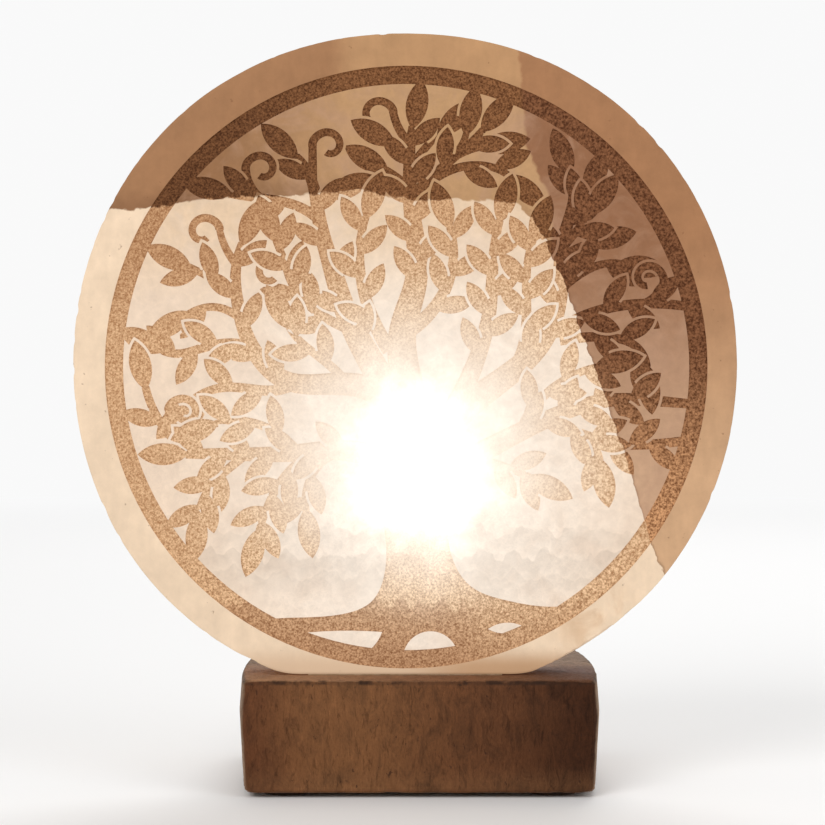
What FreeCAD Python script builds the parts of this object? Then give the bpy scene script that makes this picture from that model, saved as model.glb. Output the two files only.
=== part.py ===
import FreeCAD, Part
import math
import os

# Selenite disc lamp: an engraved disc of selenite stands on a block of satin spar,
# and a candle bulb in a small screw lampholder lights it from behind.
# Millimetres. x runs to the right of the viewer, y away from the viewer and z up.
# The origin is on the floor, under the middle of the disc and of the depth of the base.

# Disc
disc_radius = 100.0
disc_out_of_round = 0.5
disc_thickness = 20.0
disc_flat_depth = 7.0
disc_flat_corner_radius = 25.0
disc_edge_radius = 0.8

# Cleavage layers that have come off the back of the disc
low_layer_depth = 1.6
top_layer_depth = 0.7

# Ring and tree, ground into the front of the disc
engraving_depth = 0.6
ring_border = 9.8
ring_width = 5.5
motif_shift_x = 0.3
motif_shift_z = -1.1
motif_drawn_radius = 84.7
side_leaf_length = 12.2
end_leaf_length = 15.4
leaf_fullness = 0.215
leaf_angle = 42.0
leaf_gap = 0.75
leaf_tip_gap = 1.05
leaf_stalk_share = 0.36
crumb_area = 1.5
curl_radius = 4.8
curl_width = 2.6

# Base block
base_width = 105.6
base_depth = 92.0
base_height = 33.2
base_shift = 4.3
base_side_bulge = 2.6
base_bottom_inset = 1.1
base_top_inset = 0.7
base_corner_radius = 3.0
base_edge_chamfer = 0.8
base_widest_level = 22.5

# Felt pads under the base
foot_thickness = 1.5
foot_radius = 7.0
foot_inset = 13.0

# Glue and dowels between base and disc
glue_thickness = 0.4
glue_length = 58.0
glue_margin = 1.0
dowel_radius = 3.0
dowel_length = 23.0
dowel_spacing = 40.0
dowel_clearance = 0.05
dowel_end_gap = 0.4

# Bore of the base for the lampholder, and its seat in the underside
bore_radius = 21.0
bore_behind_disc = 8.0
bore_rear_wall = 9.0
seat_width = 3.0
seat_depth = 4.6
flange_clearance = 0.4
flange_thickness = 3.0

# Inlet of the cord in the rear wall of the base
cord_axis_rise = 5.6
cord_hole_radius = 3.3
bush_wall = 1.3
bush_flange_width = 1.8
bush_flange_thickness = 1.5
bush_clearance = 0.05

# Lampholder
skirt_radius = 12.8
skirt_wall = 1.6
skirt_height = 36.5
skirt_rim_thickness = 2.6
skirt_mouth_radius = 8.5
skirt_lip_width = 0.6
skirt_lip_thickness = 1.5
chamber_height = 12.0
spigot_height = 5.0
spigot_clearance = 0.1
carrier_thickness = 7.0
carrier_clearance = 0.15
shell_wall = 0.5
shell_groove_depth = 0.5
shell_rim_thickness = 0.6
shell_rim_width = 1.6
shell_fit = 0.1

# Contacts and terminal screws
strip_thickness = 0.6
strip_width = 4.0
strip_clearance = 0.1
contact_rise = 4.0
centre_strip_offset = 2.7
centre_strip_reach = 2.5
side_strip_rise = 9.0
terminal_length = 5.6
terminal_screw_radius = 1.5
terminal_screw_length = 5.0
screw_head_radius = 2.2
screw_head_height = 2.0
screw_clearance = 0.05

# Cord grip
grip_length = 16.6
grip_depth = 4.6
grip_roof = 1.4
grip_screw_spacing = 12.0
grip_screw_radius = 1.5
grip_screw_depth = 3.4
grip_boss_radius = 2.2
grip_offset = 3.5

# Spring clip
clip_thickness = 0.5
clip_band_height = 7.0
clip_band_level = 2.0
clip_arm_width = 8.0
clip_wall_gap = 0.15
clip_arm_drop = 15.5
clip_arm_foot = 1.4
clip_ear_length = 5.2
clip_ear_gap = 2.4
clip_fit = 0.05
clip_screw_radius = 1.25
clip_screw_tail = 0.6
clip_head_height = 1.8
clip_nut_width = 5.0
clip_nut_height = 2.0

# Screw thread of the bulb, fourteen millimetres across
thread_pitch = 2.822
thread_crest_radius = 6.95
thread_play = 0.2
groove_section_radius = 0.75
groove_turns = 4.8
ridge_turns = 3.25
ridge_play = 0.25
ridge_root_depth = 0.05

# Bulb, measured up from its contact tip
contact_tip_height = 1.2
contact_tip_radius = 2.4
contact_flat_radius = 1.2
insulator_height = 4.6
insulator_wide_radius = 5.3
insulator_hole_radius = 0.6
cap_start = 4.0
cap_lip_thickness = 0.8
cap_wall = 0.8
cap_lip_clearance = 0.1
cap_thread_end = 17.0
cap_plain_inset = 0.35
cap_plain_end = 21.4
cap_flare_radius = 8.3
cap_height = 24.0
cap_flare_rise = 1.2
neck_radius = 5.5
neck_foot = 15.0
neck_top = 22.0
glass_radius = 17.5
glass_widest_level = 58.0
glass_wall = 0.7
bulb_length = 100.0
light_centre = 60.0
stem_disc_thickness = 1.2
stem_radius = 2.6
stem_bore = 1.7
stem_fit = 0.05
stem_tube_end = 30.0
pinch_length = 6.0
pinch_width = 5.6
pinch_depth = 2.4
rod_radius = 0.9
rod_end = 47.0
button_radius = 1.5
wire_radius = 0.3
lead_spread = 6.0
lead_foot_spread = 1.2
filament_radius = 0.35
filament_rise = 5.0
wire_gap = 0.06
lead_turn_drop = 3.0
support_spread = 1.8

# Levels and places that follow from the sizes above
base_floor = foot_thickness
base_top = base_floor + base_height
disc_flat_level = base_top + glue_thickness
disc_flat_drop = disc_radius - disc_flat_depth
disc_centre_level = disc_flat_level + disc_flat_drop
disc_front_ledge = base_depth - disc_thickness - bore_behind_disc - 2 * bore_radius - bore_rear_wall
disc_front = -base_depth / 2 + disc_front_ledge
disc_back = disc_front + disc_thickness
disc_middle = (disc_front + disc_back) / 2
ring_outer_radius = disc_radius - ring_border
ring_inner_radius = ring_outer_radius - ring_width
motif_scale = ring_inner_radius / motif_drawn_radius
holder_x = base_shift
holder_y = disc_back + bore_behind_disc + bore_radius
seat_level = base_floor + seat_depth
seat_radius = bore_radius + seat_width
chamber_top = seat_level + chamber_height
carrier_level = chamber_top + spigot_height
carrier_top = carrier_level + carrier_thickness
skirt_bore = skirt_radius - skirt_wall
skirt_top = chamber_top + skirt_height
rim_level = skirt_top - skirt_rim_thickness
shell_bore = thread_crest_radius + thread_play
shell_radius = shell_bore + shell_wall
contact_level = carrier_top + contact_rise
cord_axis_level = seat_level + cord_axis_rise
bush_radius = cord_hole_radius + bush_wall
thread_helix_radius = shell_bore + ridge_root_depth
cap_bore = thread_crest_radius - cap_wall

LEFT = 1
RIGHT = -1
SAME_PLACE = 0.01


def vector(x, y, z):
    return FreeCAD.Vector(x, y, z)


def cylinder(x, y, low, high, radius):
    return Part.makeCylinder(radius, high - low, vector(x, y, low))


def tube(x, y, low, high, outer, inner):
    return cylinder(x, y, low, high, outer).cut(cylinder(x, y, low, high, inner))


def box(x_range, y_range, z_range):
    size = [limits[1] - limits[0] for limits in (x_range, y_range, z_range)]
    return Part.makeBox(*size, vector(x_range[0], y_range[0], z_range[0]))


def turned(profile):
    """Solid of revolution about the z axis from a closed list of (radius, level) points."""
    points = [vector(radius, 0, level) for radius, level in profile]
    outline = Part.makePolygon(points + points[:1])
    return Part.Face(outline).revolve(vector(0, 0, 0), vector(0, 0, 1), 360)


def rod(start, end, radius):
    """Round wire from one point to another, with its ends cut square."""
    axis = end - start
    return Part.makeCylinder(radius, axis.Length, start, axis)


def at_holder(shape):
    """Moves a piece drawn about the z axis onto the axis of the lampholder."""
    shape.translate(vector(holder_x, holder_y, 0))
    return shape


def at_bulb(shape):
    """Moves a piece measured from the contact tip of the bulb into its place in the lampholder."""
    shape.translate(vector(0, 0, contact_level))
    return at_holder(shape)


def write(name, *solids):
    for solid in solids:
        assert solid.isValid(), name
    shape = solids[0] if len(solids) == 1 else Part.makeCompound(solids)
    shape.exportStep(f"parts/{name}.step")
    print(f"{name:20s} {len(shape.Solids)} solids {shape.Volume / 1000:9.3f} cm3")


# Tree and ring
# Points of the limbs are in millimetres from the ring's centre, x then z.
# Side leaves start at a share of the limb's length, and the first one is on the named side.
limbs = [
    dict(points=[(4, -25), (0, -4), (-1, 11), (3, 26), (2, 44), (1, 62), (2, 72)],
         foot_width=11.5, tip_width=2.6, leaf_count=8, first_share=0.50, side=LEFT, ending="leaf"),
    dict(points=[(2, 66), (-2, 71), (-4, 77)],
         foot_width=2.8, tip_width=2.4, ending="curl left"),
    dict(points=[(3, 62), (7, 67), (10, 70)],
         foot_width=2.6, tip_width=2.2, ending="leaf"),
    dict(points=[(14, 63), (17, 67), (18, 70)],
         foot_width=2.6, tip_width=2.0, ending="leaf"),
    dict(points=[(13, 62), (19, 65), (23, 66)],
         foot_width=2.6, tip_width=2.2, ending="leaf"),
    dict(points=[(8, 56), (17, 60), (25, 60), (31, 57)],
         foot_width=2.8, tip_width=2.2, leaf_count=2, first_share=0.2, side=RIGHT, ending="leaf"),
    dict(points=[(2, 51), (10, 59), (17, 65), (23, 71)],
         foot_width=3.4, tip_width=2.2, leaf_count=2, first_share=0.25, side=LEFT, ending="leaf"),
    dict(points=[(2, 62), (-1, 65), (-4, 67)],
         foot_width=2.8, tip_width=2.2, ending="leaf"),
    dict(points=[(2, 52), (-3, 57), (-6, 59)],
         foot_width=2.8, tip_width=2.2, ending="leaf"),
    dict(points=[(0, -22), (-9, -1), (-17, 14), (-22, 29), (-26, 44), (-28, 55), (-33, 63)],
         foot_width=10.0, tip_width=2.6, leaf_count=6, first_share=0.3, side=RIGHT, ending="leaf"),
    dict(points=[(-28, 55), (-28, 62), (-28, 67)],
         foot_width=2.8, tip_width=2.4, ending="curl right"),
    dict(points=[(-28, 47), (-26, 49), (-23, 51)],
         foot_width=2.6, tip_width=2.2, ending="leaf"),
    dict(points=[(-26, 44), (-35, 49), (-47, 51), (-53, 52)],
         foot_width=3.2, tip_width=2.6, leaf_count=2, first_share=0.2, side=LEFT, ending="leaf"),
    dict(points=[(-43, 50), (-47, 55), (-48, 60)],
         foot_width=2.8, tip_width=2.4, ending="curl right"),
    dict(points=[(-5, 5), (-12, 20), (-14, 33), (-12, 45)],
         foot_width=4.5, tip_width=2.2, leaf_count=5, first_share=0.15, side=LEFT, ending="leaf"),
    dict(points=[(1, 11), (10, 20), (14, 31), (13, 42)],
         foot_width=4.5, tip_width=2.2, leaf_count=5, first_share=0.2, side=RIGHT, ending="leaf"),
    dict(points=[(-3, -14), (-20, -5), (-36, -4), (-45, 4), (-50, 17), (-51, 29), (-49, 37)],
         foot_width=8.0, tip_width=2.6, leaf_count=5, first_share=0.4, side=RIGHT, ending="leaf"),
    dict(points=[(-51, 31), (-55, 38), (-56, 42)],
         foot_width=2.6, tip_width=2.0, ending="curl left"),
    dict(points=[(-50, 22), (-59, 27), (-65, 30)],
         foot_width=2.8, tip_width=2.2, leaf_count=2, first_share=0.3, side=RIGHT, ending="leaf"),
    dict(points=[(-49, 14), (-58, 18), (-65, 16)],
         foot_width=2.6, tip_width=2.2, leaf_count=1, first_share=0.4, side=LEFT, ending="leaf"),
    dict(points=[(-43, 3), (-51, 7), (-60, 6), (-68, 4), (-73, 5)],
         foot_width=3.4, tip_width=2.4, leaf_count=4, first_share=0.15, side=LEFT, ending="leaf"),
    dict(points=[(-32, -4), (-43, -7), (-53, -6), (-61, -8), (-65, -11)],
         foot_width=3.4, tip_width=2.4, leaf_count=3, first_share=0.2, side=LEFT, ending="leaf"),
    dict(points=[(-16, 11), (-26, 16), (-33, 23), (-36, 30)],
         foot_width=3.2, tip_width=2.2, leaf_count=4, first_share=0.15, side=LEFT, ending="curl left"),
    dict(points=[(-29, 18), (-36, 31), (-39, 38)],
         foot_width=2.8, tip_width=2.2, leaf_count=3, first_share=0.2, side=RIGHT, ending="leaf"),
    dict(points=[(-18, -5), (-26, 3), (-32, 8), (-35, 12)],
         foot_width=3.0, tip_width=2.2, leaf_count=3, first_share=0.2, side=RIGHT, ending="leaf"),
    dict(points=[(-2, -31), (-18, -25), (-37, -26), (-53, -26), (-66, -26)],
         foot_width=7.5, tip_width=2.8, leaf_count=7, first_share=0.22, side=RIGHT, ending="leaf"),
    dict(points=[(-64, -26), (-71, -20), (-76, -12), (-78, -6)],
         foot_width=3.0, tip_width=2.4, leaf_count=1, first_share=0.1, side=LEFT, ending="leaf"),
    dict(points=[(-69, -22), (-71, -17), (-71, -12)],
         foot_width=2.4, tip_width=2.0, ending="curl right"),
    dict(points=[(-32, -26), (-40, -19), (-50, -16), (-57, -17)],
         foot_width=3.0, tip_width=2.2, leaf_count=3, first_share=0.15, side=RIGHT, ending="leaf"),
    dict(points=[(-49, -27), (-55, -32), (-60, -38), (-62, -44)],
         foot_width=2.8, tip_width=2.2, leaf_count=4, first_share=0.25, side=LEFT, ending="leaf"),
    dict(points=[(-30, -27), (-38, -35), (-42, -43), (-44, -49)],
         foot_width=2.8, tip_width=2.2, leaf_count=5, first_share=0.15, side=LEFT, ending="leaf"),
    dict(points=[(-21, -26), (-28, -32), (-30, -38), (-30, -43)],
         foot_width=2.6, tip_width=2.2, leaf_count=2, first_share=0.3, side=LEFT, ending="leaf"),
    dict(points=[(9, -22), (27, -5), (41, 8), (46, 23), (47, 38), (50, 50), (49, 58)],
         foot_width=9.0, tip_width=2.6, leaf_count=7, first_share=0.35, side=LEFT, ending="leaf"),
    dict(points=[(12, -16), (21, 2), (25, 17), (26, 31), (28, 44)],
         foot_width=6.5, tip_width=2.4, leaf_count=7, first_share=0.3, side=LEFT, ending="leaf"),
    dict(points=[(33, 1), (36, 14), (36, 27), (38, 38)],
         foot_width=3.4, tip_width=2.2, leaf_count=6, first_share=0.2, side=RIGHT, ending="leaf"),
    dict(points=[(48, 42), (52, 48), (54, 52)],
         foot_width=2.8, tip_width=2.2, leaf_count=1, first_share=0.2, side=LEFT, ending="leaf"),
    dict(points=[(47, 33), (52, 36), (55, 37)],
         foot_width=2.8, tip_width=2.2, ending="leaf"),
    dict(points=[(47, 36), (52, 42), (55, 46)],
         foot_width=2.8, tip_width=2.2, leaf_count=2, first_share=0.2, side=RIGHT, ending="leaf"),
    dict(points=[(46, 23), (54, 29), (60, 31), (64, 31)],
         foot_width=3.0, tip_width=2.2, leaf_count=2, first_share=0.25, side=LEFT, ending="leaf"),
    dict(points=[(44, 10), (58, 17), (72, 19), (85, 18)],
         foot_width=3.4, tip_width=2.8, leaf_count=4, first_share=0.15, side=RIGHT, ending="ring"),
    dict(points=[(68, 18), (74, 21), (77, 25)],
         foot_width=2.4, tip_width=2.0, ending="curl left"),
    dict(points=[(46, 8), (60, 9), (69, 6), (72, 0)],
         foot_width=3.2, tip_width=2.4, leaf_count=3, first_share=0.2, side=RIGHT, ending="leaf"),
    dict(points=[(13, -30), (31, -21), (46, -14), (60, -10), (73, -10), (85, -11)],
         foot_width=7.0, tip_width=2.8, leaf_count=7, first_share=0.3, side=LEFT, ending="ring"),
    dict(points=[(42, -16), (52, -20), (64, -23), (75, -23), (84, -22)],
         foot_width=3.4, tip_width=2.8, leaf_count=5, first_share=0.12, side=RIGHT, ending="ring"),
    dict(points=[(34, -20), (43, -7), (51, -2), (57, 0)],
         foot_width=3.2, tip_width=2.2, leaf_count=4, first_share=0.15, side=LEFT, ending="leaf"),
    dict(points=[(19, -27), (30, -30), (37, -33)],
         foot_width=2.8, tip_width=2.2, leaf_count=3, first_share=0.3, side=RIGHT, ending="leaf"),
    dict(points=[(52, -20), (57, -25), (58, -28)],
         foot_width=2.6, tip_width=2.2, leaf_count=2, first_share=0.2, side=LEFT, ending="leaf"),
]
last_leaf_share = {"leaf": 0.97, "curl left": 0.97, "curl right": 0.97, "ring": 0.8}

trunk_left = [
    (-6.3, -22), (-6.9, -46), (-6.6, -62.5), (-10.2, -70), (-19.5, -74), (-34.5, -75), (-43.2, -75.7),
]
trunk_right = [
    (13.2, -22), (12.9, -40), (14.1, -58), (19.2, -65.5), (29.5, -69.7), (44.5, -71.7), (50.6, -71.0),
]
trunk_foot = (0, -87.2)
# Openings under the roots: left end, crown, right end and lowest point
root_openings = [
    ((-30, -79.5), (-18.5, -78.9), (-7.2, -79.3), (-14, -86.5)),
    ((-0.8, -85.8), (6.6, -79.1), (15.2, -84.8), (7, -86.8)),
    ((24.5, -78.4), (30.2, -76.5), (35.4, -77.8), (29.8, -79.7)),
]


def on_front(x, z):
    """Point of the motif on the front face of the disc."""
    level = disc_centre_level + motif_shift_z + z * motif_scale
    return vector(motif_shift_x + x * motif_scale, disc_front, level)


def flat_face(edges):
    """Face inside a closed run of edges, turned to the viewer so that faces that meet can be joined."""
    face = Part.Face(Part.Wire(Part.__sortEdges__(edges)))
    if face.normalAt(0, 0).y > 0:
        face.reverse()
    return face


def curve_through(points):
    curve = Part.BSplineCurve()
    curve.interpolate(points)
    return curve.toShape()


def left_of(direction):
    return vector(-direction.z, 0, direction.x)


def stroke(centreline, foot_width, tip_width, stations):
    """Flat band along a centreline that narrows from its foot to its tip."""
    left_points = []
    right_points = []
    for index in range(stations + 1):
        share = index / stations
        place = centreline.getParameterByLength(share * centreline.Length)
        half_width = (foot_width + (tip_width - foot_width) * share) / 2
        aside = left_of(centreline.tangentAt(place)).multiply(half_width)
        left_points.append(centreline.valueAt(place) + aside)
        right_points.append(centreline.valueAt(place) - aside)
    left = curve_through(left_points)
    tip = Part.makeLine(left_points[-1], right_points[-1])
    right = curve_through(right_points)
    foot = Part.makeLine(right_points[0], left_points[0])
    return flat_face([left, tip, right, foot])


def lens(first, upper, last, lower):
    """Face between two arcs that share their ends."""
    over = Part.Arc(first, upper, last).toShape()
    under = Part.Arc(last, lower, first).toShape()
    return flat_face([over, under])


def leaf(foot, direction, length):
    """Leaf, and the wider shape past its stalk that keeps a clear line round it."""
    aside = left_of(direction)
    middle = foot + direction * (length / 2)
    half_width = length * leaf_fullness
    face = lens(foot, middle + aside * half_width, foot + direction * length, middle - aside * half_width)
    wide = half_width + leaf_gap
    arc_radius = ((length / 2 + leaf_tip_gap) ** 2 + wide ** 2) / (2 * wide)
    to_stalk = length / 2 - length * leaf_stalk_share
    stalk_wide = math.sqrt(arc_radius ** 2 - to_stalk ** 2) - arc_radius + wide
    stalk = middle - direction * to_stalk
    left = stalk + aside * stalk_wide
    right = stalk - aside * stalk_wide
    tip = foot + direction * (length + leaf_tip_gap)
    over = Part.Arc(left, middle + aside * wide, tip).toShape()
    under = Part.Arc(tip, middle - aside * wide, right).toShape()
    return face, flat_face([over, under, Part.makeLine(right, left)])


def turned_in_plane(direction, degrees):
    angle = math.radians(degrees)
    x = direction.x * math.cos(angle) - direction.z * math.sin(angle)
    z = direction.x * math.sin(angle) + direction.z * math.cos(angle)
    return vector(x, 0, z)


def curl(start, direction, side):
    """Hook that winds inwards from the end of a limb in equal turns, and the wider shape round it."""
    turn = 36
    turns = 8
    shrink = 0.9
    tip_width = curl_width * 0.8
    stations = 14
    radius = curl_radius
    points = [start - direction, start]
    for _ in range(turns):
        direction = turned_in_plane(direction, side * turn)
        points.append(points[-1] + direction * (radius * math.radians(turn)))
        radius *= shrink
    face = stroke(curve_through(points), curl_width, tip_width, stations)
    around = 2 * leaf_gap
    return face, stroke(curve_through(points[2:]), curl_width + around, tip_width + around, stations)


def limb_pieces(points, foot_width, tip_width, ending, leaf_count=0, first_share=0, side=LEFT):
    """The band of one limb, and its side leaves and what it ends in, each with its wider shape."""
    centreline = curve_through([on_front(x, z) for x, z in points])
    stations = 2 * len(points)
    band = stroke(centreline, foot_width, tip_width, stations)
    leaves = []
    last_share = last_leaf_share[ending]
    for number in range(leaf_count):
        share = first_share + (last_share - first_share) * (number + 0.5) / leaf_count
        place = centreline.getParameterByLength(share * centreline.Length)
        direction = turned_in_plane(centreline.tangentAt(place), side * leaf_angle)
        leaves.append(leaf(centreline.valueAt(place), direction, side_leaf_length))
        side = -side
    tip = centreline.valueAt(centreline.LastParameter)
    direction = centreline.tangentAt(centreline.LastParameter)
    if ending == "leaf":
        leaves.append(leaf(tip - direction, direction, end_leaf_length))
    elif ending == "curl left":
        leaves.append(curl(tip, direction, LEFT))
    elif ending == "curl right":
        leaves.append(curl(tip, direction, RIGHT))
    return band, leaves


def trunk():
    """Trunk that spreads into the roots, with the openings between them."""
    left = curve_through([on_front(x, z) for x, z in trunk_left])
    right = curve_through([on_front(x, z) for x, z in trunk_right])
    top = Part.makeLine(left.firstVertex().Point, right.firstVertex().Point)
    foot = Part.Arc(left.lastVertex().Point, on_front(*trunk_foot), right.lastVertex().Point).toShape()
    openings = [lens(*[on_front(x, z) for x, z in opening]) for opening in root_openings]
    return flat_face([left, foot, right, top]).cut(openings)


def cleared(face, over_it):
    """What is left of a face beside the wider shapes of the leaves that lie over it."""
    near = [shape for shape in over_it if shape.BoundBox.intersect(face.BoundBox)]
    return face.cut(near).Faces if near else [face]


def whole_faces(shape):
    """Faces drawn anew from the outlines of flat faces that meet edge to edge."""
    uses = {}
    for face in shape.Faces:
        for edge in face.Edges:
            uses.setdefault(edge.hashCode(), []).append(edge)
    outside = [edges[0] for edges in uses.values() if len(edges) == 1]
    wires = [Part.Wire(run) for run in Part.sortEdges(outside)]
    return Part.makeFace(wires, "Part::FaceMakerBullseye").Faces


def motif():
    """Ring, trunk, limbs, leaves and curls in one plane, with nothing outside the ring and no crumbs."""
    centre = on_front(0, 0)
    facing = vector(0, -1, 0)
    outer = flat_face([Part.makeCircle(ring_outer_radius, centre, facing)])
    inner = flat_face([Part.makeCircle(ring_inner_radius, centre, facing)])
    bands = trunk().Faces
    leaves = []
    for limb in limbs:
        band, limb_leaves = limb_pieces(**limb)
        bands.append(band)
        leaves += limb_leaves
    wider = [around for _, around in leaves]
    faces = outer.cut(inner).Faces
    for band in bands:
        faces += cleared(band, wider)
    for number, (face, _) in enumerate(leaves, 1):
        faces += cleared(face, wider[number:])
    joined = outer.common(faces[0].multiFuse(faces[1:]))
    return [face for face in whole_faces(joined) if face.Area > crumb_area]


# Disc
# Edges between the cleavage layers on the back, in hundredths of the disc's radius from its centre
shared_edge = [(-89, 46), (-55, 47), (-11, 51), (3, 47), (36, 48)]
low_layer_edge = shared_edge + [(43, 34), (58, -4), (70, -41), (78, -63)]
top_layer_edge = [(34, 93), (36, 66), (40, 56)]


def disc_blank():
    """Nearly round slab, a little flat at the top and sides, cut off level where it stands."""
    steps = 48
    lobes = 4
    points = []
    for index in range(steps):
        angle = 2 * math.pi * index / steps
        radius = disc_radius - disc_out_of_round * math.cos(lobes * angle)
        level = disc_centre_level + radius * math.sin(angle)
        points.append(vector(radius * math.cos(angle), disc_front, level))
    rim = Part.BSplineCurve()
    rim.interpolate(points, PeriodicFlag=True)
    slab = flat_face([rim.toShape()]).extrude(vector(0, disc_thickness, 0))
    wide = 2 * disc_radius
    return slab.cut(box((-wide, wide), (disc_front, disc_back), (disc_flat_level - wide, disc_flat_level)))


def layer_cut(edge, closing, depth):
    share = disc_radius / 100
    level = disc_back - depth
    points = [vector(x * share, level, disc_centre_level + z * share) for x, z in edge + closing]
    face = Part.Face(Part.makePolygon(points + points[:1]))
    return face.extrude(vector(0, 2 * depth, 0))


def on_flat(edge):
    return edge.BoundBox.ZMax < disc_flat_level + SAME_PLACE


def selenite_disc():
    disc = disc_blank()
    corners = [edge for edge in disc.Edges if on_flat(edge) and edge.BoundBox.YLength > disc_thickness / 2]
    disc = disc.makeFillet(disc_flat_corner_radius, corners)
    rims = [edge for edge in disc.Edges if edge.BoundBox.YLength < SAME_PLACE]
    disc = disc.makeFillet(disc_edge_radius, rims)
    far = 200
    left_end = (-far, low_layer_edge[0][1])
    low_closing = [(far, -far / 2), (far, -far), (-far, -far), left_end]
    top_closing = shared_edge[::-1] + [left_end, (-far, far), (top_layer_edge[0][0], far)]
    disc = disc.cut(layer_cut(low_layer_edge, low_closing, low_layer_depth))
    disc = disc.cut(layer_cut(top_layer_edge, top_closing, top_layer_depth))
    for x in dowel_places():
        hole_top = disc_flat_level + dowel_depth() + dowel_end_gap
        disc = disc.cut(cylinder(x, disc_middle, disc_flat_level, hole_top, dowel_radius + dowel_clearance))
    return disc.cut([face.extrude(vector(0, engraving_depth, 0)) for face in motif()])


def dowel_places():
    return (-dowel_spacing / 2, dowel_spacing / 2)


def dowel_depth():
    """How far a dowel reaches into the disc, and as far into the base."""
    return (dowel_length - glue_thickness) / 2


def dowel_pins():
    low = base_top - dowel_depth()
    return [cylinder(x, disc_middle, low, low + dowel_length, dowel_radius) for x in dowel_places()]


def glue_bed():
    half = glue_length / 2
    depth = (disc_front + glue_margin, disc_back - low_layer_depth - glue_margin)
    bed = box((-half, half), depth, (base_top, disc_flat_level))
    for x in dowel_places():
        bed = bed.cut(cylinder(x, disc_middle, base_top, disc_flat_level, dowel_radius + dowel_clearance))
    return bed


# Base block
def base_section(level, inset):
    """Plan of the base at one level: straight front and back, swelling sides and rounded corners."""
    half_width = base_width / 2 - inset
    half_depth = base_depth / 2 - inset
    side_end = half_depth - base_corner_radius
    front_end = half_width - base_corner_radius
    bend = base_corner_radius * (1 - math.sqrt(0.5))

    def point(x, y):
        return vector(base_shift + x, y, level)

    def arc(*places):
        return Part.Arc(*[point(x, y) for x, y in places]).toShape()

    edges = []
    for turn in (1, -1):
        width = turn * half_width
        depth = turn * half_depth
        bow = turn * (half_width + base_side_bulge)
        front = turn * front_end
        side = turn * side_end
        inward = turn * bend
        edges.append(Part.makeLine(point(-front, -depth), point(front, -depth)))
        edges.append(arc((front, -depth), (width - inward, -depth + inward), (width, -side)))
        edges.append(arc((width, -side), (bow, 0), (width, side)))
        edges.append(arc((width, side), (width - inward, depth - inward), (front, depth)))
    return Part.Wire(edges)


def base_block():
    low_inset = base_bottom_inset + base_edge_chamfer
    high_inset = base_top_inset + base_edge_chamfer
    sections = [
        base_section(base_floor, low_inset),
        base_section(base_floor + base_edge_chamfer, base_bottom_inset),
        base_section(base_floor + base_widest_level, 0),
        base_section(base_top - base_edge_chamfer, base_top_inset),
        base_section(base_top, high_inset),
    ]
    block = Part.makeLoft(sections, True, True)
    block = block.cut(cylinder(holder_x, holder_y, base_floor, base_top, bore_radius))
    block = block.cut(cylinder(holder_x, holder_y, base_floor, seat_level, seat_radius))
    for x in dowel_places():
        low = base_top - dowel_depth() - dowel_end_gap
        block = block.cut(cylinder(x, disc_middle, low, base_top, dowel_radius + dowel_clearance))
    rear = base_depth / 2
    bush_seat = rear - bush_flange_thickness
    block = block.cut(along_cord(holder_y, rear, bush_radius + bush_clearance))
    return block.cut(along_cord(bush_seat, rear, bush_radius + bush_flange_width + bush_clearance))


def felt_feet():
    x = base_width / 2 - foot_inset
    y = base_depth / 2 - foot_inset
    places = [(base_shift + i * x, j * y) for i in (-1, 1) for j in (-1, 1)]
    return [cylinder(*place, 0, base_floor, foot_radius) for place in places]


# Cord inlet
def along_cord(near, far, radius):
    """Round bar on the axis of the cord's way through the rear wall."""
    return Part.makeCylinder(radius, far - near, vector(holder_x, near, cord_axis_level), vector(0, 1, 0))


def cord_bush():
    rear = base_depth / 2
    wall_start = holder_y + math.sqrt(bore_radius ** 2 - bush_radius ** 2)
    bush_seat = rear - bush_flange_thickness
    bush = along_cord(wall_start, rear, bush_radius)
    bush = bush.fuse(along_cord(bush_seat, rear, bush_radius + bush_flange_width)).removeSplitter()
    return bush.cut(along_cord(wall_start, rear, cord_hole_radius))


# Lampholder
def holder_cap():
    """Cup with the terminal chamber, the flange that seats in the base and the spigot for the skirt."""
    flange_low = seat_level - flange_thickness
    spigot_radius = skirt_bore - spigot_clearance
    cap = cylinder(0, 0, flange_low, seat_level, seat_radius - flange_clearance)
    cap = cap.fuse(cylinder(0, 0, seat_level, chamber_top, skirt_radius))
    cap = cap.fuse(cylinder(0, 0, chamber_top, carrier_level, spigot_radius))
    cap = cap.cut(cylinder(0, 0, seat_level, chamber_top - skirt_wall, skirt_bore))
    cap = cap.cut(cylinder(0, 0, seat_level, carrier_level, spigot_radius - skirt_wall))
    hole_low = cord_axis_level - grip_screw_depth - screw_clearance
    hole_radius = grip_screw_radius + screw_clearance
    for x in grip_screw_places():
        cap = cap.fuse(cylinder(x, grip_offset, seat_level, cord_axis_level, grip_boss_radius))
        cap = cap.cut(cylinder(x, grip_offset, hole_low, cord_axis_level, hole_radius))
    outlet = rod(vector(0, 0, cord_axis_level), vector(0, skirt_radius, cord_axis_level), cord_hole_radius)
    return at_holder(cap.removeSplitter().cut(outlet))


def holder_skirt():
    skirt = tube(0, 0, chamber_top, skirt_top, skirt_radius, skirt_bore)
    lip_top = carrier_top + skirt_lip_thickness
    skirt = skirt.fuse(tube(0, 0, carrier_top, lip_top, skirt_radius, skirt_bore - skirt_lip_width))
    skirt = skirt.fuse(tube(0, 0, rim_level, skirt_top, skirt_radius, skirt_mouth_radius))
    return at_holder(skirt.removeSplitter())


def side_strip_inner():
    return shell_radius + shell_fit


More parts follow.
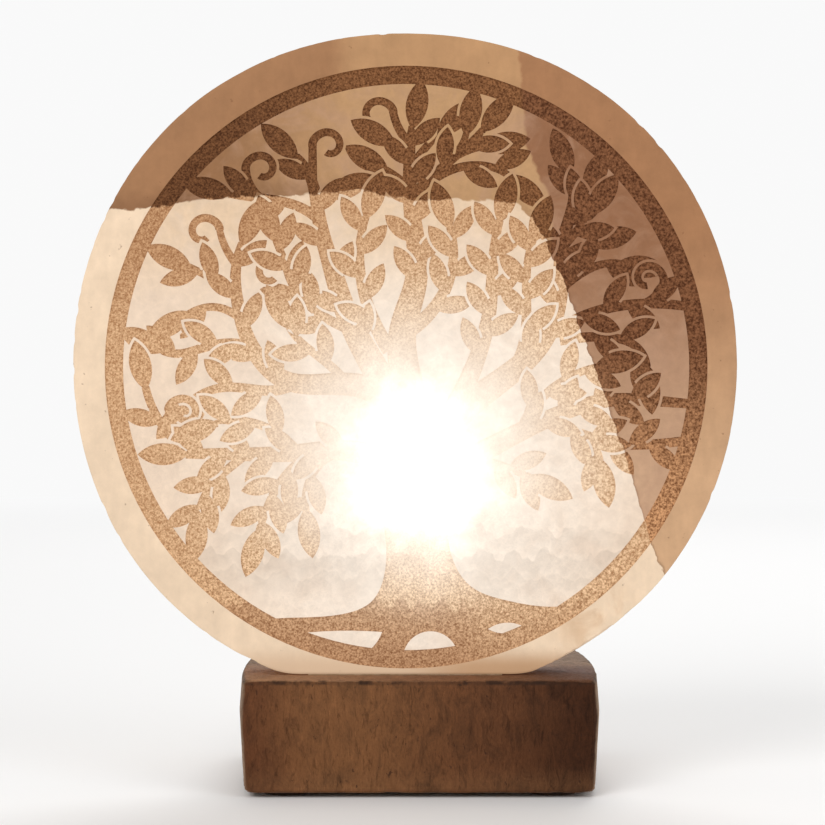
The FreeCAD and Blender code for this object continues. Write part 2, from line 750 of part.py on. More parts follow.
def contact_carrier():
    carrier = cylinder(0, 0, carrier_level, carrier_top, skirt_bore - carrier_clearance)
    groove_low = carrier_top - shell_groove_depth
    groove = tube(0, 0, groove_low, carrier_top, shell_radius + shell_fit, shell_bore - shell_fit)
    carrier = carrier.cut(groove)
    half = strip_width / 2 + strip_clearance
    for inner in (side_strip_inner(), -centre_strip_offset - strip_thickness):
        limits = (inner - strip_clearance, inner + strip_thickness + strip_clearance)
        carrier = carrier.cut(box(limits, (-half, half), (carrier_level, carrier_top)))
    hole_top = carrier_level + terminal_screw_length - strip_thickness + screw_clearance
    hole_radius = terminal_screw_radius + screw_clearance
    for x in terminal_screw_places():
        carrier = carrier.cut(cylinder(x, 0, carrier_level, hole_top, hole_radius))
    return at_holder(carrier)


def screw_shell():
    """Brass tube with a rim at the top and a rounded ridge that winds up its bore."""
    shell = tube(0, 0, carrier_top - shell_groove_depth, rim_level, shell_radius, shell_bore)
    rim_low = rim_level - shell_rim_thickness
    shell = shell.fuse(tube(0, 0, rim_low, rim_level, shell_radius + shell_rim_width, shell_bore))
    start = contact_level + groove_start() + thread_pitch
    ridge = helix_bar(start, ridge_turns, groove_section_radius - ridge_play)
    jacket = tube(0, 0, carrier_top, rim_level, (shell_bore + shell_radius) / 2, cap_bore)
    return at_holder(shell.fuse(ridge.common(jacket)).removeSplitter())


def helix_bar(start_level, turns, section_radius):
    """Round bar wound about the z axis as a right-hand screw."""
    helix = Part.makeHelix(thread_pitch, thread_pitch * turns, thread_helix_radius)
    helix.translate(vector(0, 0, start_level))
    start = helix.Vertexes[0].Point
    slope = vector(0, 2 * math.pi * thread_helix_radius, thread_pitch)
    section = Part.Wire(Part.makeCircle(section_radius, start, slope))
    return Part.Wire(helix).makePipeShell([section], True, True)


def groove_start():
    """Level, above the contact tip, at which the groove runs in below the cap."""
    return cap_start - 2 * groove_section_radius - ridge_play


def terminal_screw_places():
    side = side_strip_inner() - terminal_length / 2 - strip_thickness / 2
    centre = -centre_strip_offset - strip_thickness - terminal_length / 2
    return (side, centre)


def terminal_plate(low, high, screw_place):
    half = strip_width / 2
    plate = box((low, high), (-half, half), (carrier_level - strip_thickness, carrier_level))
    clearance = terminal_screw_radius + screw_clearance
    return plate.cut(cylinder(screw_place, 0, carrier_level - strip_thickness, carrier_level, clearance))


def side_contact():
    """Terminal plate with a strap that rises through the carrier and bears on the screw shell."""
    inner = side_strip_inner()
    outer = inner + strip_thickness
    half = strip_width / 2
    plate = terminal_plate(inner - terminal_length, outer, terminal_screw_places()[0])
    strap = box((inner, outer), (-half, half), (carrier_level, carrier_top + side_strip_rise))
    return at_holder(plate.fuse(strap).removeSplitter())


def centre_contact():
    """Terminal plate with a strip that rises through the carrier and bends over under the bulb."""
    right = -centre_strip_offset
    left = right - strip_thickness
    half = strip_width / 2
    plate = terminal_plate(left - terminal_length, right, terminal_screw_places()[1])
    riser = box((left, right), (-half, half), (carrier_level, contact_level))
    arm = box((left, centre_strip_reach), (-half, half), (contact_level - strip_thickness, contact_level))
    return at_holder(plate.fuse([riser, arm]).removeSplitter())


def screw(x, y, head_low, head_high, shank_end, shank_radius):
    """Slotted screw on a vertical axis: the shank starts at the top or foot of the head."""
    middle = (head_low + head_high) / 2
    shank = sorted((middle, shank_end))
    body = cylinder(x, y, head_low, head_high, screw_head_radius).fuse(cylinder(x, y, *shank, shank_radius))
    slot_width = shank_radius / 2
    slot_depth = (head_high - head_low) / 3
    free_end = head_low if shank_end > head_high else head_high
    slot_levels = (free_end - slot_depth, free_end + slot_depth)
    slot_half = 2 * screw_head_radius
    slot = box((x - slot_half, x + slot_half), (y - slot_width / 2, y + slot_width / 2), slot_levels)
    return body.removeSplitter().cut(slot)


def terminal_screws():
    high = carrier_level - strip_thickness
    low = high - screw_head_height
    end = high + terminal_screw_length
    places = terminal_screw_places()
    return [at_holder(screw(x, 0, low, high, end, terminal_screw_radius)) for x in places]


def grip_screw_places():
    return (-grip_screw_spacing / 2, grip_screw_spacing / 2)


def grip_top():
    return cord_axis_level + cord_hole_radius + grip_roof


def cord_grip():
    """Bar with an arch that presses on the cord."""
    half = grip_length / 2
    depth = (grip_offset - grip_depth / 2, grip_offset + grip_depth / 2)
    bar = box((-half, half), depth, (cord_axis_level, grip_top()))
    arch_ends = [vector(0, y, cord_axis_level) for y in depth]
    bar = bar.cut(rod(*arch_ends, cord_hole_radius))
    hole_radius = grip_screw_radius + screw_clearance
    for x in grip_screw_places():
        bar = bar.cut(cylinder(x, grip_offset, cord_axis_level, grip_top(), hole_radius))
    return at_holder(bar)


def cord_grip_screws():
    low = grip_top()
    end = cord_axis_level - grip_screw_depth
    high = low + screw_head_height
    places = grip_screw_places()
    return [at_holder(screw(x, grip_offset, low, high, end, grip_screw_radius)) for x in places]


# Spring clip
def clip_middle_level():
    return chamber_top + clip_band_level + clip_band_height / 2


def clip_ear_middle():
    return -(skirt_radius + clip_fit + clip_thickness + clip_ear_length / 2)


def spring_clip():
    """Clamped band round the skirt with two bowed arms that grip the bore of the base."""
    low = chamber_top + clip_band_level
    high = low + clip_band_height
    inner = skirt_radius + clip_fit
    outer = inner + clip_thickness
    band = tube(0, 0, low, high, outer, inner)
    ear_start = -math.sqrt(outer ** 2 - (clip_ear_gap / 2 + clip_thickness) ** 2)
    ear_end = -outer - clip_ear_length
    band = band.cut(box((-clip_ear_gap / 2, clip_ear_gap / 2), (ear_end, 0), (low, high)))
    for side in (-1, 1):
        near = side * clip_ear_gap / 2
        limits = sorted((near, near + side * clip_thickness))
        band = band.fuse(box(limits, (ear_end, ear_start + clip_thickness), (low, high)))
        band = band.fuse(clip_arm(side, high))
    hole_end = clip_ear_gap / 2 + clip_thickness
    hole = clip_axis_bar(-hole_end, hole_end, clip_screw_radius + clip_fit)
    return at_holder(band.removeSplitter().cut(hole).cut(cylinder(0, 0, 0, skirt_top, inner)))


def clip_arm(side, high):
    """One arm: a bow from the top of the band out to the bore and back in."""
    half = clip_arm_width / 2
    reach = math.sqrt((bore_radius - clip_wall_gap) ** 2 - half ** 2)
    root = skirt_radius + clip_fit
    foot = root + clip_arm_foot
    middle = high - clip_arm_drop / 2
    low = high - clip_arm_drop
    outside = [(root, high), (reach, middle), (foot, low)]
    inside = [(foot - clip_thickness, low), (reach - clip_thickness, middle), (root, high - clip_thickness)]
    outside = [vector(x, -half, z) for x, z in outside]
    inside = [vector(x, -half, z) for x, z in inside]
    outer_bow = Part.Arc(*outside).toShape()
    tail = Part.makeLine(outside[-1], inside[0])
    inner_bow = Part.Arc(*inside).toShape()
    head = Part.makeLine(inside[-1], outside[0])
    face = Part.Face(Part.Wire([outer_bow, tail, inner_bow, head]))
    arm = face.extrude(vector(0, clip_arm_width, 0))
    if side < 0:
        arm = arm.mirror(vector(0, 0, 0), vector(1, 0, 0))
    return arm


def clip_axis_bar(start, end, radius):
    foot = vector(start, clip_ear_middle(), clip_middle_level())
    return Part.makeCylinder(radius, end - start, foot, vector(1, 0, 0))


def clip_screw():
    outside = clip_ear_gap / 2 + clip_thickness
    tail = outside + clip_nut_height + clip_screw_tail
    head = clip_axis_bar(-outside - clip_head_height, -outside, clip_nut_width / 2)
    shank = clip_axis_bar(-outside, tail, clip_screw_radius)
    return at_holder(head.fuse(shank).removeSplitter())


def clip_nut():
    outside = clip_ear_gap / 2 + clip_thickness
    corners = 6
    radius = clip_nut_width / 2 / math.cos(math.pi / corners)
    points = []
    for index in range(corners):
        angle = 2 * math.pi * (index + 0.5) / corners
        y = clip_ear_middle() + radius * math.cos(angle)
        z = clip_middle_level() + radius * math.sin(angle)
        points.append(vector(outside, y, z))
    nut = Part.Face(Part.makePolygon(points + points[:1])).extrude(vector(clip_nut_height, 0, 0))
    bore = clip_axis_bar(outside, outside + clip_nut_height, clip_screw_radius + clip_fit)
    return at_holder(nut.cut(bore))


# Bulb
def cap_contact():
    top = contact_tip_height
    return at_bulb(turned([(0, 0), (contact_flat_radius, 0), (contact_tip_radius, top), (0, top)]))


def insulator_top():
    return contact_tip_height + insulator_height


def cap_insulator():
    lip_top = cap_start + cap_lip_thickness
    held = cap_bore - cap_lip_clearance
    profile = [
        (insulator_hole_radius, contact_tip_height),
        (contact_tip_radius, contact_tip_height),
        (insulator_wide_radius, cap_start - cap_lip_clearance),
        (insulator_wide_radius, lip_top),
        (held, lip_top),
        (held, insulator_top()),
        (insulator_hole_radius, insulator_top()),
    ]
    return at_bulb(turned(profile))


def bulb_cap():
    """Brass cap: turned-in lip, threaded wall, plain collar and flared rim."""
    plain = thread_crest_radius - cap_plain_inset
    plain_bore = plain - cap_wall + cap_plain_inset
    lip_bore = insulator_wide_radius + cap_lip_clearance
    lip_top = cap_start + cap_lip_thickness
    flare_low = cap_plain_end + cap_flare_rise
    profile = [
        (lip_bore, cap_start),
        (thread_crest_radius - cap_plain_inset, cap_start),
        (thread_crest_radius, cap_start + cap_plain_inset),
        (thread_crest_radius, cap_thread_end),
        (plain, cap_thread_end + cap_plain_inset),
        (plain, cap_plain_end),
        (cap_flare_radius, flare_low),
        (cap_flare_radius, cap_height),
        (cap_flare_radius - cap_wall / 2, cap_height),
        (cap_flare_radius - cap_wall / 2, flare_low + cap_plain_inset),
        (plain_bore, cap_plain_end + cap_plain_inset),
        (plain_bore, lip_top),
        (lip_bore, lip_top),
    ]
    groove = helix_bar(groove_start(), groove_turns, groove_section_radius)
    return at_bulb(turned(profile).cut(groove))


def cap_cement():
    return at_bulb(tube(0, 0, neck_foot, cap_plain_end, cap_bore - cap_lip_clearance, neck_radius))


def glass_outline(inset):
    """Candle shape: straight neck, a swelling body and a drawn-out tip, all set in by the given amount."""
    # Shares of the widening and of the rise from the neck to the widest place,
    # then shares of the widest radius and of the rise from there to the tip
    swelling = [(0, 0), (0.30, 0.18), (0.72, 0.50), (1, 1)]
    drawn_out = [(0.79, 0.45), (0.40, 0.76), (0.15, 0.93), (0, 1)]
    widest = glass_radius - inset
    neck = neck_radius - inset
    swell_rise = glass_widest_level - neck_top
    tip_rise = bulb_length - inset - glass_widest_level
    shape = []
    for out, up in swelling:
        shape.append(vector(neck + out * (widest - neck), 0, neck_top + up * swell_rise))
    for out, up in drawn_out:
        shape.append(vector(out * widest, 0, glass_widest_level + up * tip_rise))
    curve = Part.BSplineCurve()
    curve.interpolate(shape, InitialTangent=vector(0, 0, 1), FinalTangent=vector(-1, 0, 0))
    foot = vector(0, 0, neck_foot)
    foot_edge = vector(neck, 0, neck_foot)
    edges = [
        Part.makeLine(foot, foot_edge),
        Part.makeLine(foot_edge, shape[0]),
        curve.toShape(),
        Part.makeLine(shape[-1], foot),
    ]
    return Part.Face(Part.Wire(edges)).revolve(vector(0, 0, 0), vector(0, 0, 1), 360)


def bulb_glass():
    return at_bulb(glass_outline(0).cut(glass_outline(glass_wall)))


def bulb_stem():
    """Glass flare, tube, pinch and rod that carry the wires."""
    flare_top = neck_foot + stem_disc_thickness
    stem = cylinder(0, 0, neck_foot, flare_top, neck_radius - glass_wall - stem_fit)
    stem = stem.fuse(cylinder(0, 0, flare_top, stem_tube_end, stem_radius))
    stem = stem.cut(cylinder(0, 0, neck_foot, stem_tube_end, stem_bore))
    pinch_top = stem_tube_end + pinch_length
    half_width = pinch_width / 2
    half_depth = pinch_depth / 2
    pinch = box((-half_width, half_width), (-half_depth, half_depth), (stem_tube_end, pinch_top))
    stem = stem.fuse([pinch, cylinder(0, 0, pinch_top, rod_end, rod_radius)])
    stem = stem.fuse(Part.makeSphere(button_radius, vector(0, 0, rod_end)))
    stem = stem.removeSplitter()
    hole_radius = wire_radius + wire_gap
    for x in lead_places():
        stem = stem.cut(rod(lead_foot(x), lead_tip(x), hole_radius))
        stem = stem.cut(cylinder(x, 0, stem_tube_end, pinch_middle(), hole_radius))
        stem = stem.cut(Part.makeSphere(hole_radius, lead_foot(x)))
    return at_bulb(stem)


def lead_places():
    return (-lead_foot_spread, lead_foot_spread)


def pinch_middle():
    return stem_tube_end + pinch_length / 2


def lead_foot(x):
    return vector(x, 0, pinch_middle())


def lead_tip(x):
    """Upper end of a lead wire, just under the end of the filament."""
    level = light_centre - filament_rise / 2 - filament_radius - wire_gap
    return vector(math.copysign(lead_spread, x), 0, level)


def lead_wires():
    """Two wires: through the pinch to the filament above, and down to the contact tip or the cap wall."""
    turn_off = neck_foot - lead_turn_drop
    tails = {
        -lead_foot_spread: [vector(0, 0, insulator_top() + wire_radius), vector(0, 0, contact_tip_height)],
        lead_foot_spread: [vector(cap_bore - wire_radius, 0, turn_off)],
    }
    wires = []
    for x, tail in tails.items():
        route = [lead_tip(x), lead_foot(x), vector(x, 0, turn_off)] + tail
        wire = rod(route[0], route[1], wire_radius)
        for start, end in zip(route[1:], route[2:]):
            wire = wire.fuse([Part.makeSphere(wire_radius, start), rod(start, end, wire_radius)])
        wires.append(at_bulb(wire.removeSplitter()))
    return wires


def filament_points():
    """Zigzag between the lead wires."""
    runs = 4
    points = []
    for index in range(runs + 1):
        x = lead_spread * (2 * index / runs - 1)
        above = 1 if index % 2 else -1
        points.append(vector(x, 0, light_centre + above * filament_rise / 2))
    return points


def filament():
    points = filament_points()
    wire = Part.makeSphere(filament_radius, points[0])
    for start, end in zip(points, points[1:]):
        wire = wire.fuse([rod(start, end, filament_radius), Part.makeSphere(filament_radius, end)])
    return at_bulb(wire.removeSplitter())


def filament_supports():
    """Wires from the button of the stem that pass just behind the three bends of the filament."""
    behind = filament_radius + wire_radius + wire_gap
    supports = []
    for bend in filament_points()[1:-1]:
        spread = support_spread * bend.x / lead_spread
        start = vector(spread, behind, rod_end + button_radius)
        supports.append(at_bulb(rod(start, bend + vector(0, behind, wire_radius), wire_radius)))
    return supports


os.makedirs("parts", exist_ok=True)
write("selenite_disc", selenite_disc())
write("base_block", base_block())
write("felt_feet", *felt_feet())
write("dowel_pins", *dowel_pins())
write("glue_bed", glue_bed())
write("cord_bush", cord_bush())
write("holder_cap", holder_cap())
write("holder_skirt", holder_skirt())
write("contact_carrier", contact_carrier())
write("screw_shell", screw_shell())
write("side_contact", side_contact())
write("centre_contact", centre_contact())
write("terminal_screws", *terminal_screws())
write("cord_grip", cord_grip())
write("cord_grip_screws", *cord_grip_screws())
write("spring_clip", spring_clip())
write("clip_screw", clip_screw())
write("clip_nut", clip_nut())
write("cap_contact", cap_contact())
write("cap_insulator", cap_insulator())
write("bulb_cap", bulb_cap())
write("cap_cement", cap_cement())
write("bulb_glass", bulb_glass())
write("bulb_stem", bulb_stem())
write("lead_wires", *lead_wires())
write("filament", filament())
write("filament_supports", *filament_supports())
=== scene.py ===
# %% [markdown]
# # A selenite disc lamp
# An engraved disc of selenite stands on a block of satin spar, and a small bulb lights it from behind.
# The CAD model gives every piece its size and place. This lesson gives the pieces their finish:
# it loads the model, sets up a small studio, roughens the stone and paints each material with nodes.

# %% Load the model
import math

import bmesh
import bpy
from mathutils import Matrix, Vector, noise


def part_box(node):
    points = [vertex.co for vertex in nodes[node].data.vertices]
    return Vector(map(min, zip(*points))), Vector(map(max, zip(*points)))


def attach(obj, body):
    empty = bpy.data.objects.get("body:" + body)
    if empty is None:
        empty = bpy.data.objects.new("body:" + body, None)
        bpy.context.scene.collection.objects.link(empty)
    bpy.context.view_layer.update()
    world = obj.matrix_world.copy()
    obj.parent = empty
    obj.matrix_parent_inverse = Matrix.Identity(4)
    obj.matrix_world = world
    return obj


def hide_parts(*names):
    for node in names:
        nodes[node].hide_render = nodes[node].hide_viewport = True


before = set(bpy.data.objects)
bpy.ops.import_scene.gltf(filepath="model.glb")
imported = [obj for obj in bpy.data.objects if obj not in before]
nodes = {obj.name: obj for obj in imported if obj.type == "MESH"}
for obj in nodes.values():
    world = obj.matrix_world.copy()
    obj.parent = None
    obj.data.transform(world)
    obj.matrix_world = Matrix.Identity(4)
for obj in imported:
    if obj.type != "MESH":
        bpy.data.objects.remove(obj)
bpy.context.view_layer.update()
scene = bpy.context.scene
print("pieces in the model:", len(nodes))

# %% [markdown]
# The camera looks level at the lamp from two thirds of a metre away, a little below the disc's middle.
# A camera can be placed by eye, but a photograph fixes it better: the depth of the ledge in front of
# the disc and the width of the base against that of the disc give the distance,
# and with it the focal length.

# %% Camera
picture_pixels = 825
focal_pixels = 2139
sensor_width = 36.0
camera_data = bpy.data.cameras.new("photo_camera")
camera_data.sensor_width = sensor_width
camera_data.lens = sensor_width * focal_pixels / picture_pixels
camera = bpy.data.objects.new("photo_camera", camera_data)
camera.location = (0.0022, -0.673, 0.1134)
camera.rotation_euler = (math.radians(90), 0, 0)
scene.collection.objects.link(camera)
scene.camera = camera
scene.view_settings.view_transform = "Standard"
print("lens", round(camera_data.lens, 1), "mm")

# %% [markdown]
# A material is a small net of nodes. Typing out every node and link makes a long script,
# so this helper adds one node at a time, feeds its sockets with numbers or with other nodes' outputs,
# and gives back the output. The sky is a net of nodes too, so the helper takes any node tree.

# %% Wiring of nodes
class Wiring:
    """Adds nodes to a node tree and links them up."""

    def __init__(self, tree):
        self.tree = tree

    def feed(self, socket, value):
        if isinstance(value, bpy.types.NodeSocket):
            self.tree.links.new(value, socket)
        else:
            socket.default_value = value

    def step(self, kind, *inputs, output=0, **settings):
        """One new node with its inputs fed in order. None leaves an input as it is."""
        node = self.tree.nodes.new("ShaderNode" + kind)
        for name, value in settings.items():
            setattr(node, name, value)
        for socket, value in zip(node.inputs, inputs):
            if value is not None:
                self.feed(socket, value)
        return node.outputs[output]

    def math(self, operation, *inputs):
        return self.step("Math", *inputs, operation=operation)

    def times(self, product, *factors):
        for factor in factors:
            product = self.math("MULTIPLY", product, factor)
        return product

    def less(self, first, second):
        return self.math("SUBTRACT", first, second)

    def vector(self, operation, *inputs):
        return self.step("VectorMath", *inputs, operation=operation)

    def scale(self, vector, share):
        return self.vector("SCALE", vector, None, None, share)

    def length(self, vector):
        return self.step("VectorMath", vector, operation="LENGTH", output=1)

    def axes(self, vector):
        node = self.tree.nodes.new("ShaderNodeSeparateXYZ")
        self.feed(node.inputs[0], vector)
        return node.outputs

    def seen_rays(self):
        """1 for rays from the camera, off a shiny piece or through glass, and 0 for other rays."""
        rays = self.tree.nodes.new("ShaderNodeLightPath").outputs
        seen = self.math("MAXIMUM", rays["Is Camera Ray"], rays["Is Glossy Ray"])
        return self.math("MAXIMUM", seen, rays["Is Transmission Ray"])


print("wiring helper ready")

# %% [markdown]
# Stone, metal and plastic share a few patterns: clouds of noise, cracks, soft edges and mixes of colours.
# Each is a method of a finish, so that a finish reads as a recipe, from the stone's coordinates
# down to its shader. Places are in millimetres, and colours are written as they are seen on a screen.

# %% Patterns for finishes
mm_per_metre = 1000.0
unchanged = (1, 1, 1, 1)
screen_toe = 0.04045
toe_slope = 12.92
screen_offset = 0.055
screen_power = 2.4


def linear(value):
    """Level on a screen, from 0 to 255, as a share of the light that it stands for."""
    share = value / 255
    if share < screen_toe:
        return share / toe_slope
    return ((share + screen_offset) / (1 + screen_offset)) ** screen_power


def paint(red, green, blue):
    """Colour as it is seen on a screen, turned into the linear colour that nodes use."""
    return (linear(red), linear(green), linear(blue), 1.0)


class Finish(Wiring):
    """One procedural material, built step by step."""

    def __init__(self, name):
        self.material = bpy.data.materials.new(name)
        self.material.use_nodes = True
        super().__init__(self.material.node_tree)
        self.shader = self.tree.nodes["Principled BSDF"]
        coordinates = self.tree.nodes.new("ShaderNodeTexCoord")
        self.normal = coordinates.outputs["Normal"]
        self.place = self.scale(coordinates.outputs["Object"], mm_per_metre)

    def reach(self, centre, stretch=(1, 0, 1)):
        """Distance from a centre, with each axis counted by its own share."""
        return self.length(self.vector("MULTIPLY", self.vector("SUBTRACT", self.place, centre), stretch))

    def ramp(self, value, low, high, start=0.0, end=1.0):
        """Smooth change from start to end while the value goes from low to high."""
        return self.step("MapRange", value, low, high, start, end, interpolation_type="SMOOTHSTEP")

    def below(self, value, limit, blur):
        """1 where the value is below the limit and 0 where it is above, with a soft edge."""
        return self.ramp(value, limit - blur, limit + blur, 1.0, 0.0)

    def spread(self, noise_value, start, end):
        """Noise keeps mostly between 0.3 and 0.7: this spreads it evenly from start to end."""
        return self.step("MapRange", noise_value, 0.3, 0.7, start, end)

    def mix(self, share, first, second, blend="MIX"):
        node = self.tree.nodes.new("ShaderNodeMix")
        node.data_type = "RGBA"
        node.blend_type = blend
        self.feed(node.inputs["Factor"], share)
        self.feed(node.inputs["A"], first)
        self.feed(node.inputs["B"], second)
        return node.outputs["Result"]

    def darken(self, colour, share):
        """Colour times a share, which can be a colour too. A share above 1 brightens."""
        return self.mix(1.0, colour, share, "MULTIPLY")

    def cloud(self, scale, detail=3.0, rough=0.5, stretch=(1, 1, 1), bend=0.0):
        """Noise from 0 to 1, with one patch in about one over the scale in millimetres."""
        node = self.tree.nodes.new("ShaderNodeTexNoise")
        self.feed(node.inputs["Vector"], self.vector("MULTIPLY", self.place, stretch))
        settings = {"Scale": scale, "Detail": detail, "Roughness": rough, "Distortion": bend}
        for name, value in settings.items():
            self.feed(node.inputs[name], value)
        return node.outputs["Fac"]

    def cracks(self, scale, bend=7.0):
        """Distance from the edges of bent cells: 0 on an edge."""
        bending = self.tree.nodes.new("ShaderNodeTexNoise")
        self.feed(bending.inputs["Vector"], self.place)
        self.feed(bending.inputs["Scale"], scale)
        bent = self.vector("MULTIPLY_ADD", bending.outputs["Color"], (bend, bend, bend), self.place)
        node = self.tree.nodes.new("ShaderNodeTexVoronoi")
        node.feature = "DISTANCE_TO_EDGE"
        self.feed(node.inputs["Vector"], bent)
        self.feed(node.inputs["Scale"], scale)
        return node.outputs["Distance"]

    def line(self, value, points, span=100.0):
        """Broken line through given points, for values from minus span to plus span."""
        node = self.tree.nodes.new("ShaderNodeFloatCurve")
        curve = node.mapping.curves[0]
        shares = [((x + span) / (2 * span), (y + span) / (2 * span)) for x, y in points]
        for index, share in enumerate(shares):
            point = curve.points[index] if index < 2 else curve.points.new(*share)
            point.location = share
            point.handle_type = "VECTOR"
        node.mapping.update()
        share_in = self.step("MapRange", value, -span, span, 0.0, 1.0)
        self.feed(node.inputs["Value"], share_in)
        return self.step("MapRange", node.outputs["Value"], 0.0, 1.0, -span, span)

    def bump(self, height, millimetres, strength=1.0):
        node = self.tree.nodes.new("ShaderNodeBump")
        self.feed(node.inputs["Strength"], strength)
        self.feed(node.inputs["Distance"], millimetres / mm_per_metre)
        self.feed(node.inputs["Height"], height)
        self.feed(self.shader.inputs["Normal"], node.outputs["Normal"])

    def set(self, **sockets):
        for name, value in sockets.items():
            self.feed(self.shader.inputs[name.replace("_", " ")], value)


def coat(piece, finish):
    piece.data.materials.clear()
    piece.data.materials.append(finish.material)


def dress(finish, *names):
    for name in names:
        coat(nodes[name], finish)


print("patterns ready")

# %% [markdown]
# The studio is a pale round floor that fades to white far from the lamp, with white beyond it.
# A curved backdrop would do for one view, but a round floor looks the same from every side.
# The even sky lights the lamp at half strength, and rays that see it directly meet plain white.

# %% Floor and sky
studio_white = (0.95, 0.95, 0.95, 1)
floor_radius = 6.0
floor_mesh = bpy.data.meshes.new("studio_floor")
plan = bmesh.new()
bmesh.ops.create_circle(plan, cap_ends=True, segments=96, radius=floor_radius)
plan.to_mesh(floor_mesh)
plan.free()
floor = bpy.data.objects.new("studio_floor", floor_mesh)
scene.collection.objects.link(floor)

floor_finish = Finish("studio_floor")
floor_finish.set(Base_Color=(0.86, 0.855, 0.85, 1), Roughness=0.7)
far_away = floor_finish.ramp(floor_finish.length(floor_finish.place), 500, 2200)
seen_far = floor_finish.times(far_away, floor_finish.seen_rays())
white = floor_finish.step("Emission", studio_white, 1.0)
faded = floor_finish.step("MixShader", seen_far, floor_finish.shader.outputs[0], white)
floor_finish.feed(floor_finish.tree.nodes["Material Output"].inputs["Surface"], faded)
coat(floor, floor_finish)

sky = bpy.data.worlds.new("studio_sky")
sky.use_nodes = True
scene.world = sky
sky_net = Wiring(sky.node_tree)
light_sky = sky.node_tree.nodes["Background"]
sky_net.feed(light_sky.inputs["Color"], (1, 1, 1, 1))
sky_net.feed(light_sky.inputs["Strength"], 0.5)
seen_sky = sky_net.step("Background", studio_white, 1.0)
whole_sky = sky_net.step("MixShader", sky_net.seen_rays(), light_sky.outputs[0], seen_sky)
sky_net.feed(sky.node_tree.nodes["World Output"].inputs["Surface"], whole_sky)
print("floor and sky set, floor radius", floor_radius)

# %% [markdown]
# Three large soft boxes give the lamp its shape. Small lamps would throw hard shadows and bright spots,
# so each box is over a metre wide, and all point at the middle of the lamp.
# Their level is set so that a colour shows about as it is written.

# %% Soft boxes
lamp_middle = Vector((0, 0, 0.11))


def soft_box(name, place, size, watts):
    light = bpy.data.lights.new(name, "AREA")
    light.shape = "DISK"
    light.size = size
    light.energy = watts
    box = bpy.data.objects.new(name, light)
    box.location = place
    box.rotation_euler = (lamp_middle - Vector(place)).to_track_quat("-Z", "Y").to_euler()
    scene.collection.objects.link(box)


soft_box("front_left_box", place=(-1.0, -1.7, 1.4), size=1.3, watts=22)
soft_box("front_right_box", place=(1.5, -1.3, 0.9), size=1.3, watts=11)
soft_box("rear_top_box", place=(0.3, 1.5, 1.7), size=1.5, watts=20)
print("soft boxes:", len(bpy.data.lights))

# %% [markdown]
# The disc is sawn and sanded, so its faces are flat, but its rim is never quite smooth:
# it has shallow waves and small chips along both edges, most of them low on the right.
# Bump shading can't change an outline, so the rim is cut in the mesh, by a rough drum.
# These two functions say how far the drum reaches at each angle. All depths are in metres.

# %% Shape of the rim
disc_low, disc_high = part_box("selenite_disc")
disc_radius = (disc_high.x - disc_low.x) / 2
disc_thickness = disc_high.y - disc_low.y
disc_centre = Vector(((disc_low.x + disc_high.x) / 2, 0, disc_high.z - disc_radius))

chip_depth = 0.0010
chip_start = 0.2
chip_width = 0.0035
chips_around = 22.0
splinter_depth = 0.0018
splinter_angle = math.radians(-56)
splinter_spread = 0.16
splinters_around = 60.0
wave_depth = 0.00012
waves_around = 7.0
waves_across = 20
ripple_depth = 0.00005
ripples_around = 40.0
corner_room = 0.0005
flat_top_depth = 0.0006
flat_top_spread = 0.3


def edge_chip(angle):
    """How deep the edge is chipped here: more at the lower right."""
    around = Vector((math.cos(angle), math.sin(angle), 0))
    small = max(0.0, noise.noise(around * chips_around) - chip_start) * chip_depth
    away = (angle - splinter_angle + math.pi) % (2 * math.pi) - math.pi
    rough_place = math.exp(-((away / splinter_spread) ** 2))
    splinters = 0.5 + 0.5 * noise.noise(around * splinters_around)
    return small + rough_place * splinter_depth * splinters


def rim_radius(angle, depth):
    """Radius of the drum at an angle and at a depth behind the front of the disc."""
    around = Vector((math.cos(angle), math.sin(angle), depth * waves_across))
    outline = disc_radius + corner_room * (1 - math.cos(4 * angle))
    flat_top = flat_top_depth * math.exp(-(((angle - math.pi / 2) / flat_top_spread) ** 2))
    waves = wave_depth * (1 + noise.noise(around * waves_around))
    waves += ripple_depth * (1 + noise.noise(around * ripples_around))
    edge = max(0.0, 1 - min(depth, disc_thickness - depth) / chip_width) ** 2
    return outline - flat_top - waves - edge_chip(angle) * edge


print("disc radius", round(disc_radius * mm_per_metre, 1), "mm")

# %% [markdown]
# The drum is built ring by ring from front to back, and reaches a little past both faces of the disc,
# so that only its rough side cuts. A cylinder with a displacement would need a texture;
# a loop over angle and depth needs only the two functions above.

# %% A rough drum
drum_columns = 840
drum_rows = 26
overhang = 0.05


def drum_ring(drum, row):
    depth = disc_thickness * (row / drum_rows * (1 + 2 * overhang) - overhang)
    ring = []
    for column in range(drum_columns):
        angle = 2 * math.pi * column / drum_columns
        radius = rim_radius(angle, min(max(depth, 0), disc_thickness))
        x = disc_centre.x + radius * math.cos(angle)
        z = disc_centre.z + radius * math.sin(angle)
        ring.append(drum.verts.new((x, disc_low.y + depth, z)))
    return ring


def rough_drum():
    drum = bmesh.new()
    rings = [drum_ring(drum, row) for row in range(drum_rows + 1)]
    for near, far in zip(rings, rings[1:]):
        for column in range(drum_columns):
            following = (column + 1) % drum_columns
            drum.faces.new((near[column], near[following], far[following], far[column]))
    drum.faces.new(rings[0][::-1])
    drum.faces.new(rings[-1])
    bmesh.ops.recalc_face_normals(drum, faces=drum.faces)
    mesh = bpy.data.meshes.new("rough_drum")
    drum.to_mesh(mesh)
    drum.free()
    return mesh


drum_mesh = rough_drum()
print("drum faces:", len(drum_mesh.polygons))

